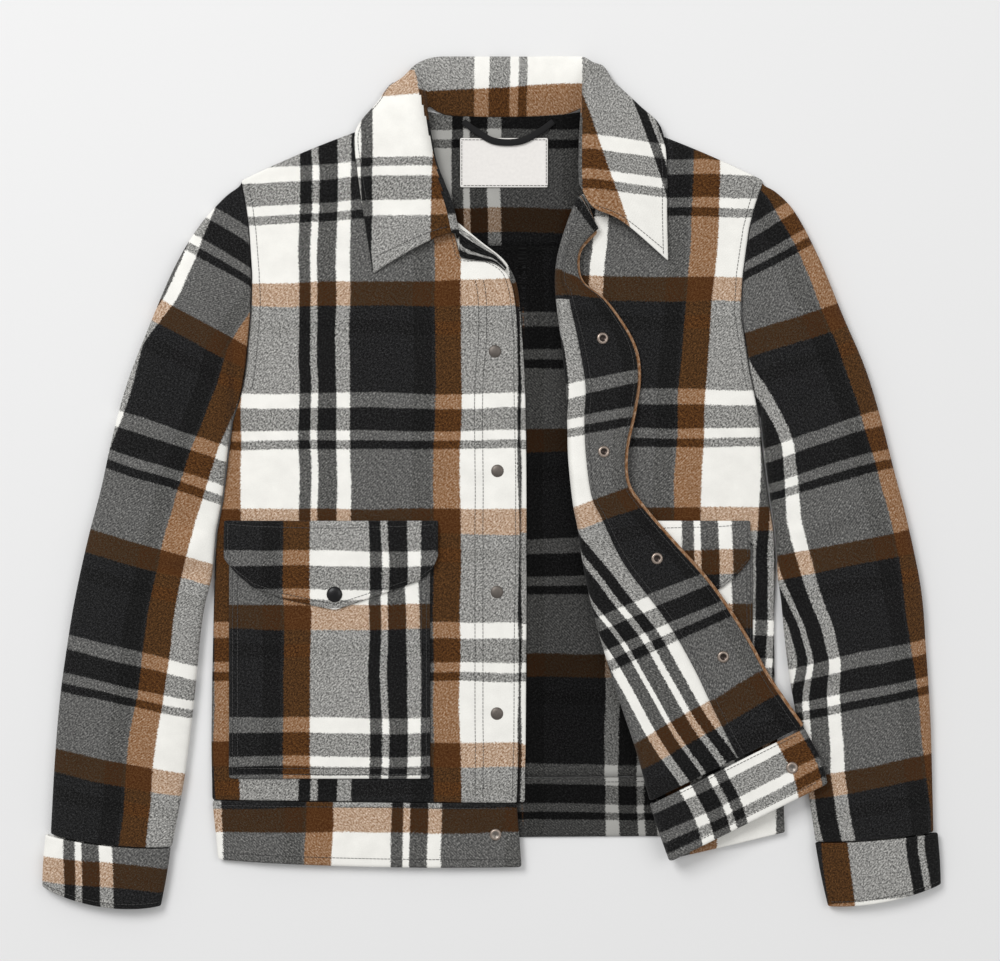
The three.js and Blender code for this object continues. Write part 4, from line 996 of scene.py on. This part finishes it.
# %% Rings
def ring_point(row, turn_share, plan_at):
    height = row[5]
    turn = 2 * math.pi * turn_share
    across = math.copysign(abs(math.cos(turn)) ** 0.8, math.cos(turn))
    round_ = abs(math.sin(turn))
    side = min(height, RING_EDGE_HEIGHT * height)
    x, y = plan_at(0.5 + across * 0.5)
    if math.sin(turn) > 0:
        uneven = 0.5 * noise.noise(Vector((x / 30, y / 44, 5)))
        folds = 2.0 * soft_folds(x, y, SLEEVE_FOLDS) + uneven
        return x, y, pair(side, height, round_**0.7) + folds * round_
    return x, y, max(0, side - side * 1.5 * round_**0.6)


def straight_plan(row):
    out_x, out_y, in_x, in_y, bow = row[:5]
    way = bearing(out_x, out_y, in_x, in_y)
    cuffward = way - math.pi / 2 if in_x > out_x else way + math.pi / 2

    def plan(share):
        bend = 4 * bow * share * (1 - share)
        return (pair(out_x, in_x, share) + bend * math.cos(cuffward),
                pair(out_y, in_y, share) + bend * math.sin(cuffward))

    return plan


def armhole_plan(row, edge_at, outward):
    def plan(share):
        y = pair(row[1], row[3], share)
        return edge_at(y) + outward * ARMHOLE_GAP, y

    return plan


def tube_place(table, armhole=None, side=None):
    """A tube through a table's rings, its inner edge close beside the body down to the elbow."""
    def place(u, v):
        at = v * (len(table) - 1)
        row = row_at(table, at)
        if side:
            beside = side(row[3]) + math.copysign(SIDE_GAP, row[2])
            row[2] = pair(row[2], beside, ease((row[3] + 112) / 40))
        point = ring_point(row, u, straight_plan(row))
        if armhole and at < 1:
            start = ring_point(row, u, armhole(row))
            point = tuple(pair(a, b, ease(at * SLEEVE_HEAD)) for a, b in zip(start, point))
        return point

    return place


# %% Sleeves
def right_sleeve_map(u, v, x, y):
    return warp_from(look_up(RIGHT_SLEEVE_BROWN, py(y)), x), slanted_weft(RIGHT_SLEEVE_WEFT, 168, x, y)


def left_sleeve_map(u, v, x, y):
    brown, cream = look_up(LEFT_SLEEVE_BROWN, py(y)), look_up(LEFT_SLEEVE_CREAM, py(y))
    return 1 + (px(x) - brown) * 0.3795 / (brown - cream), slanted_weft(LEFT_SLEEVE_WEFT, 850, x, y)


sleeve_right = sheet("sleeve_right_cloth", (56, 110),
                     tube_place(RIGHT_SLEEVE, lambda row: armhole_plan(row, body_right, -1), body_right),
                     right_sleeve_map, CLOTH, ["sleeve_right", "forearm_right"], tube=True)
sleeve_left = sheet("sleeve_left_cloth", (56, 110),
                    tube_place(LEFT_SLEEVE, lambda row: armhole_plan(row, body_left, 1), body_left),
                    left_sleeve_map, CLOTH, ["sleeve_left"], tube=True)


# %% Cuffs
def right_cuff_map(x, y):
    return warp_from(-18, x, 215), (py(y) + 0.1 * (150 - px(x)) - 866) / WEFT_PX


def left_cuff_map(x, y):
    brown = look_up([(845, 820), (905, 828)], py(y))
    return warp_from(brown, x), 0.487 + (py(y) + 0.12 * (px(x) - 880) - 898) / WEFT_PX


cuff_right = sheet("cuff_right_cloth", (56, 14), tube_place(RIGHT_CUFF), by_place(right_cuff_map), BAND,
                   ["cuff_right"], tube=True)
cuff_left = sheet("cuff_left_cloth", (56, 14), tube_place(LEFT_CUFF), by_place(left_cuff_map), BAND,
                  ["cuff_left"], tube=True)

# %% [markdown]
# ## Pockets and flaps
# Two patch pockets lie on the fronts, each under a curved flap with a snap. The left one goes under the
# turned-back edge, and what is hidden there isn't modelled.


# %% Pockets
def fold_x_at(y):
    return look_up([(row[2], row[1]) for row in LEFT_FRONT], y)


def pocket_place(left):
    top_at = left_top if left else right_top

    def place(u, v):
        y = pair(POCKET["bottom"], POCKET["top"], v)
        out_x = LEFT_OUT["pocket"] if left else POCKET["out"]
        in_x = fold_x_at(y) + POCKET_CLEAR_OF_FOLD if left else POCKET["in"]
        x = pair(out_x, in_x, u)
        return x, y, top_at(x, y) + STACK + CLOTH / 2

    return place


def flap_place(left):
    top_at = left_top if left else right_top
    out_x = LEFT_OUT["flap"] if left else FLAP["out"]
    whole_x = -FLAP["in"] if left else FLAP["in"]
    in_x = max(whole_x, fold_x_at(FLAP["top"]) + POCKET_CLEAR_OF_FOLD) if left else whole_x

    def place(u, v):
        x = pair(out_x, in_x, u)
        edge_y = look_up(FLAP_EDGE, (x - out_x) / (whole_x - out_x))
        y = pair(FLAP["top"], edge_y, v)
        step = ease((FLAP["top"] - y) / (FLAP["top"] - FLAP["step"]))
        return x, y, top_at(x, y) + STACK + (CLOTH + STACK) * step + CLOTH / 2

    return place


pocket_right = sheet("pocket_right_cloth", (34, 40), pocket_place(False), patch_map(284, 604.7), CLOTH,
                     ["pocket_right"])
pocket_left = sheet("pocket_left_cloth", (34, 40), pocket_place(True), patch_map(596.6, 604.7), CLOTH,
                    ["pocket_left"])
flap_right = sheet("pocket_flap_right_cloth", (44, 18), flap_place(False), patch_map(284, 438), CLOTH,
                   ["pocket_flap_right"])
flap_left = sheet("pocket_flap_left_cloth", (44, 18), flap_place(True), patch_map(596.6, 550), CLOTH,
                  ["pocket_flap_left"])

# %% [markdown]
# ## Label and hanger loop
# The label is satin-woven, soft white and left bare. The loop is narrow black tape, curved below the
# collar seam so that the jacket can hang from a hook.


# %% Label and tape finishes
def plain_weave(name, colour, rib, roughness, sheen):
    """A fine one-colour weave on the piece's own map, counted in millimetres."""
    material, shader = principled(name, Roughness=roughness, Specular_IOR_Level=0.3)
    shader.inputs["Sheen Weight"].default_value = sheen
    tree = Nodes(material.node_tree)
    place = tree.make("UVMap", uv_map="cloth").outputs[0]
    across, down, _ = tree.make("SeparateXYZ", {0: place}).outputs
    warps = tree.math("SINE", tree.math("MULTIPLY", across, 2 * math.pi / rib))
    wefts = tree.math("SINE", tree.math("MULTIPLY", down, 2 * math.pi / (rib * 1.3)))
    grain = tree.math("MULTIPLY", warps, wefts)
    wear = tree.math("MULTIPLY_ADD", tree.noise(place, 0.35, detail=4.0), 0.16, 0.92)
    tone = tree.math("MULTIPLY_ADD", grain, 0.045, wear)
    shade = tree.vector("SCALE", colour, scale=tone)
    tree.put(shader.inputs["Base Color"], shade)
    bump = tree.make("Bump", {"Height": grain, "Strength": 0.3, "Distance": 0.0002})
    tree.put(shader.inputs["Normal"], bump.outputs[0])
    return material


LABEL_WEAVE = plain_weave("label_cloth", (0.80, 0.775, 0.745), 0.9, 0.55, 0.1)
TAPE = plain_weave("loop_tape", (0.006, 0.006, 0.0065), 1.1, 0.8, 0.0)


# %% Label and loop
LABEL_LIES_AT = 2.9


def label_place(u, v):
    curl = 0.5 * (2 * u - 1) ** 4 + 0.25 * math.sin(5 * u + 2 * v)
    x, y = LABEL["x"] + (u - 0.5) * LABEL["width"], LABEL["y"] + (v - 0.5) * LABEL["height"]
    return x, y, LABEL_LIES_AT + max(0, curl)


label = sheet("label_cloth_piece", (30, 18), label_place, by_place(lambda x, y: (x, y)), 0.8, ["label"],
              LABEL_WEAVE)


def loop_place(u, v):
    at = u * (len(LOOP) - 1)
    x, y, z = row_at(LOOP, at)
    behind, ahead = row_at(LOOP, at - 0.05), row_at(LOOP, at + 0.05)
    way = bearing(*behind[:2], *ahead[:2]) + math.pi / 2
    off = (v - 0.5) * LOOP_WIDTH * (1 + 0.12 * math.sin(math.pi * u))
    return x + off * math.cos(way), y + off * math.sin(way), z + 0.5 * (1 - (2 * v - 1) ** 2)


loop = sheet("hanger_loop_tape", (48, 6), loop_place, lambda u, v, x, y: (90 * u, 6 * v), 1.4,
             ["hanger_loop"], TAPE)

# %% [markdown]
# ## Snaps
# The opening closes with five ring snaps, and each flap with a dark enamelled cap. They are turned
# metal: a short profile swept round an axis that stands square on the cloth under it.

# %% Snap finishes
# The dark colour for a socket's middle is painted shade: a flat disc coloured for the hollow of the ring.
NICKEL, PEWTER, RECESS_SHADE = (0.36, 0.295, 0.25), (0.15, 0.132, 0.118), (0.04, 0.03, 0.026)


def metal(name, stops, roughness):
    """Metal whose colour follows the profile, from the middle of the top out and round below."""
    material, shader = principled(name, Metallic=0.85)
    tree = Nodes(material.node_tree)
    profile_share = tree.make("SeparateXYZ", {0: tree.make("UVMap", uv_map="cloth").outputs[0]}).outputs[1]
    place = tree.make("TexCoord").outputs["Object"]
    scuffs = tree.noise(place, 900.0, detail=4.0, roughness=0.7)
    tone = tree.ramp(profile_share, stops, "LINEAR")
    worn = tree.vector("SCALE", tone, scale=tree.math("MULTIPLY_ADD", scuffs, 0.6, 0.7))
    tree.put(shader.inputs["Base Color"], worn)
    tree.put(shader.inputs["Roughness"], tree.math("MULTIPLY_ADD", scuffs, 0.25, roughness - 0.12))
    return material


# share of the profile and the colour there
# A stud is plain pewter; the lighter ring near its edge is a painted highlight.
STUD_TONES_AND_HIGHLIGHT = [(0.0, PEWTER), (0.5, PEWTER), (0.72, (0.24, 0.22, 0.2)), (1.0, PEWTER)]
# From nought to 0.26 a socket ring's middle is painted shade.
RING_TONES = [(0.0, RECESS_SHADE), (0.26, RECESS_SHADE), (0.42, NICKEL), (0.7, NICKEL), (1.0, PEWTER)]
BAND_TONES = [(0.0, PEWTER), (0.3, (0.3, 0.27, 0.24)), (0.46, NICKEL), (1.0, NICKEL)]
ENAMEL_TONES = [(0.0, (0.02, 0.02, 0.021)), (0.6, (0.03, 0.03, 0.03)), (1.0, (0.05, 0.045, 0.04))]
STUD_METAL = metal("snap_nickel", STUD_TONES_AND_HIGHLIGHT, 0.5)
RING_METAL = metal("snap_nickel", RING_TONES, 0.36)
BAND_METAL = metal("snap_nickel", BAND_TONES, 0.4)
ENAMEL = metal("snap_dark", ENAMEL_TONES, 0.35)

# radius and height in mm, from the middle of the top round to the middle of the underside
STUD = [(0, 1.5), (2.6, 1.4), (4.6, 1.0), (5.7, 0.3), (5.9, 0.0), (0, 0.0)]
RING = [(0, 0.4), (2.4, 0.4), (3.0, 1.2), (4.2, 1.4), (5.4, 0.5), (5.5, 0.0), (0, 0.0)]
CAP = [(0, 2.4), (3.2, 2.2), (5.6, 1.6), (7.1, 0.7), (7.3, 0.0), (0, 0.0)]


# %% Turned pieces
SNAP_SIDES = 16


def landing(surface, x, y):
    """The shares (u, v) at which a surface passes over a place in plan, found by halving steps."""
    def miss(at):
        point = surface(clamp(at[0]), clamp(at[1]))
        return math.hypot(point[0] - x, point[1] - y)

    best = min(((i / 10, j / 60) for i in range(11) for j in range(61)), key=miss)
    step = 0.05
    while step > 1e-4:
        near = [(best[0] + i * step, best[1] + j * step) for i in (-1, 0, 1) for j in (-1, 0, 1)]
        best = min(near, key=miss)
        step *= 0.6
    return clamp(best[0]), clamp(best[1])


def snap(node, surface, x, y, lift, profile, finish, slot):
    u, v = landing(surface, x, y)
    foot = above(surface, u, v, lift)
    axis = (above(surface, u, v, lift + 1) - foot).normalized()
    turn = axis.to_track_quat("Z", "Y").to_matrix().to_4x4()
    bm = bmesh.new()
    bmesh.ops.create_grid(bm, x_segments=SNAP_SIDES, y_segments=len(profile) - 1, size=0.5)
    chart = bm.loops.layers.uv.new("cloth")
    for face in bm.faces:
        for corner in face.loops:
            corner[chart].uv = (corner.vert.co.x + 0.5, corner.vert.co.y + 0.5)
    for vert in bm.verts:
        angle = 2 * math.pi * (vert.co.x + 0.5)
        radius, height = profile[round((vert.co.y + 0.5) * (len(profile) - 1))]
        vert.co = Vector((radius * math.cos(angle), radius * math.sin(angle), height))
    bmesh.ops.remove_doubles(bm, verts=bm.verts, dist=1e-4)
    bmesh.ops.recalc_face_normals(bm, faces=bm.faces)
    bmesh.ops.transform(bm, matrix=Matrix.Scale(MM, 4) @ Matrix.Translation(foot) @ turn, verts=bm.verts)
    for face in bm.faces:
        face.smooth = True
    mesh = bpy.data.meshes.new(node + "_metal")
    bm.to_mesh(mesh)
    bm.free()
    mesh.materials.append(finish)
    piece = link(node + "_metal", mesh)
    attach(piece, "root")
    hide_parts(node)
    return piece


# %% Snaps
STUDS = [(2.3, 120.5), (4.6, 10.6), (4.1, -100.7), (4.1, -212.5)]
SOCKETS = [(100.7, 132), (101.7, 28.1), (150.4, -69.5), (211.1, -159.6)]
BAND_STUD, BAND_SOCKET = (2.8, -323.4), (273.7, -260.8)
RIGHT_CAP, LEFT_CAP = (-144.9, -102.6), (144.9, -102.6)
for i, (x, y) in enumerate(STUDS, 1):
    snap(f"snap_stud_{i}", right_front_place, x, y, CLOTH / 2, STUD, STUD_METAL, "snap_nickel")
for i, (x, y) in enumerate(SOCKETS, 1):
    snap(f"snap_socket_{i}", left_facing_place, x, y, CLOTH / 2, RING, RING_METAL, "snap_nickel")
snap("snap_stud_5", right_band_place, *BAND_STUD, BAND / 2, RING, BAND_METAL, "snap_nickel")
snap("snap_socket_5", left_band_place, *BAND_SOCKET, BAND / 2, RING, BAND_METAL, "snap_nickel")
snap("snap_cap_right", flap_place(False), *RIGHT_CAP, CLOTH / 2, CAP, ENAMEL, "snap_dark")
snap("snap_cap_left", flap_place(True), *LEFT_CAP, CLOTH / 2, CAP, ENAMEL, "snap_dark")
print("snaps:", len(STUDS) + len(SOCKETS) + 4)

# %% [markdown]
# ## Topstitching
# A sewing machine leaves a dash of dark thread every few millimetres, a set distance in from each edge.
# Each run follows a route in a piece's own shares (u, v), so that the thread always lies on its cloth.

# %% Thread
PITCH, DASH, THREAD = 3.4, 2.5, 0.45
ROUTE_STEPS = 48
THREAD_FINISH, thread_shader = principled("loop_tape", Base_Color=(0.03, 0.03, 0.03, 1), Roughness=0.6)
tree = Nodes(THREAD_FINISH.node_tree)
dye = tree.noise(tree.make("TexCoord").outputs["Object"], 400.0, detail=2.0)
tree.put(thread_shader.inputs["Base Color"], tree.mix(dye, (0.022, 0.022, 0.022, 1), (0.05, 0.048, 0.046, 1)))
thread_bm = bmesh.new()


def stitch(surface, lift, route):
    """A run of dashes along a route of (u, v) points on a surface, lift mm off it."""
    line = []
    shares = [k / ROUTE_STEPS for k in range(ROUTE_STEPS)]
    for (u0, v0), (u1, v1) in zip(route, route[1:]):
        line += [above(surface, pair(u0, u1, t), pair(v0, v1, t), lift) for t in shares]
    line.append(above(surface, *route[-1], lift))
    reach = [0.0]
    for a, b in zip(line, line[1:]):
        reach.append(reach[-1] + (b - a).length)
    i, at = 0, PITCH / 2
    while at + DASH < reach[-1]:
        while reach[i + 1] < at:
            i += 1
        way = (line[i + 1] - line[i]).normalized()
        start = line[i] + way * (at - reach[i])
        turn = way.to_track_quat("X", "Z").to_matrix().to_4x4()
        size_of_dash = Matrix.Diagonal((DASH, THREAD, THREAD, 1))
        place = Matrix.Scale(MM, 4) @ Matrix.Translation(start + way * DASH / 2) @ turn @ size_of_dash
        bmesh.ops.create_cube(thread_bm, size=1.0, matrix=place)
        at += PITCH


def across_at(surface, x, low=0.0, high=1.0, v=0.5):
    """The share u at which a surface's row v passes x."""
    for _ in range(20):
        middle = (low + high) / 2
        if (surface(middle, v)[0] < x) == (surface(1, v)[0] > surface(0, v)[0]):
            low = middle
        else:
            high = middle
    return low


def column(surface, x, v0, v1, parts=6):
    """A route along a column of the cloth that stays at one x."""
    stations = [pair(v0, v1, k / parts) for k in range(parts + 1)]
    return [(across_at(surface, x, v=v), v) for v in stations]


# %% Stitches on the fronts and pockets
ON_CLOTH, ON_BAND, ON_TUBE = CLOTH / 2 + 0.2, BAND / 2 + 0.2, 0.25
for inset in (-16.1, -8.8):
    stitch(right_front_place, ON_CLOTH, column(right_front_place, inset, 0.002, 0.80))
OPENING_EDGE = [(0.983, 0.002), (0.983, 0.5), (0.983, 0.79), (0.98, 0.93), (0.97, 0.97)]
stitch(right_front_place, ON_CLOTH, OPENING_EDGE)
stitch(right_front_place, ON_CLOTH, [(0.035, 0.66), (0.035, 0.75), (0.035, 0.85), (0.035, 0.99)])
stitch(left_front_place, ON_CLOTH, [(0.017, 0.66), (0.017, 0.75), (0.017, 0.85), (0.017, 0.99)])
stitch(right_band_place, ON_BAND, [(0.01, 0.87), (0.99, 0.87)])
stitch(right_band_place, ON_BAND, [(0.01, 0.08), (0.99, 0.08)])
for left in (False, True):
    pocket, flap = pocket_place(left), flap_place(left)
    stitch(pocket, ON_CLOTH, [(0.02, 0.95), (0.02, 0.02), (0.98, 0.02), (0.98, 0.95)])
    stitch(pocket, ON_CLOTH, [(0.045, 0.95), (0.045, 0.045), (0.955, 0.045), (0.955, 0.95)])
    stitch(flap, ON_CLOTH, [(0.02, 0.9), (0.02, 0.1)])
    stitch(flap, ON_CLOTH, [(0.02, 0.93), (0.3, 0.93), (0.6, 0.93), (0.98, 0.93)])
    stitch(flap, ON_CLOTH, [(0.01, 0.09), (0.99, 0.09)])

# %% Stitches on the collar, cuffs, turned edge, label and back
for rows in (range(1, 6), range(13, 17)):
    stitch(collar_place, ON_CLOTH, [(0.95, row / 16) for row in rows])
stitch(collar_place, ON_CLOTH, [(0.45, 0.018), (0.95, 0.018)])
stitch(collar_place, ON_CLOTH, [(0.5, 0.985), (0.95, 0.985)])
for table in (RIGHT_CUFF, LEFT_CUFF):
    cuff = tube_place(table)
    stitch(cuff, ON_TUBE, [(u / 20, 0.88) for u in range(1, 10)])
stitch(left_facing_place, ON_CLOTH, [(0.93, 0.0), (0.93, 0.5), (0.93, 1.0)])
stitch(left_facing_place, ON_CLOTH, [(0.10, 0.0), (0.10, 0.5), (0.10, 1.0)])
stitch(left_band_place, ON_BAND, [(0.7, 0.12), (0.98, 0.12)])
stitch(left_band_place, ON_BAND, [(0.7, 0.92), (0.98, 0.92)])
stitch(label_place, 0.6, [(0.02, 0.04), (0.98, 0.04), (0.98, 0.96), (0.02, 0.96), (0.02, 0.04)])
stitch(back_band_place, BAND / 2 + 0.1, [(0.1, 0.92), (0.95, 0.92)])

thread_mesh = bpy.data.meshes.new("stitches")
thread_bm.to_mesh(thread_mesh)
thread_bm.free()
thread_mesh.materials.append(THREAD_FINISH)
stitches = link("stitches", thread_mesh)
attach(stitches, "root")
print("stitches:", len(thread_mesh.polygons) // 6)
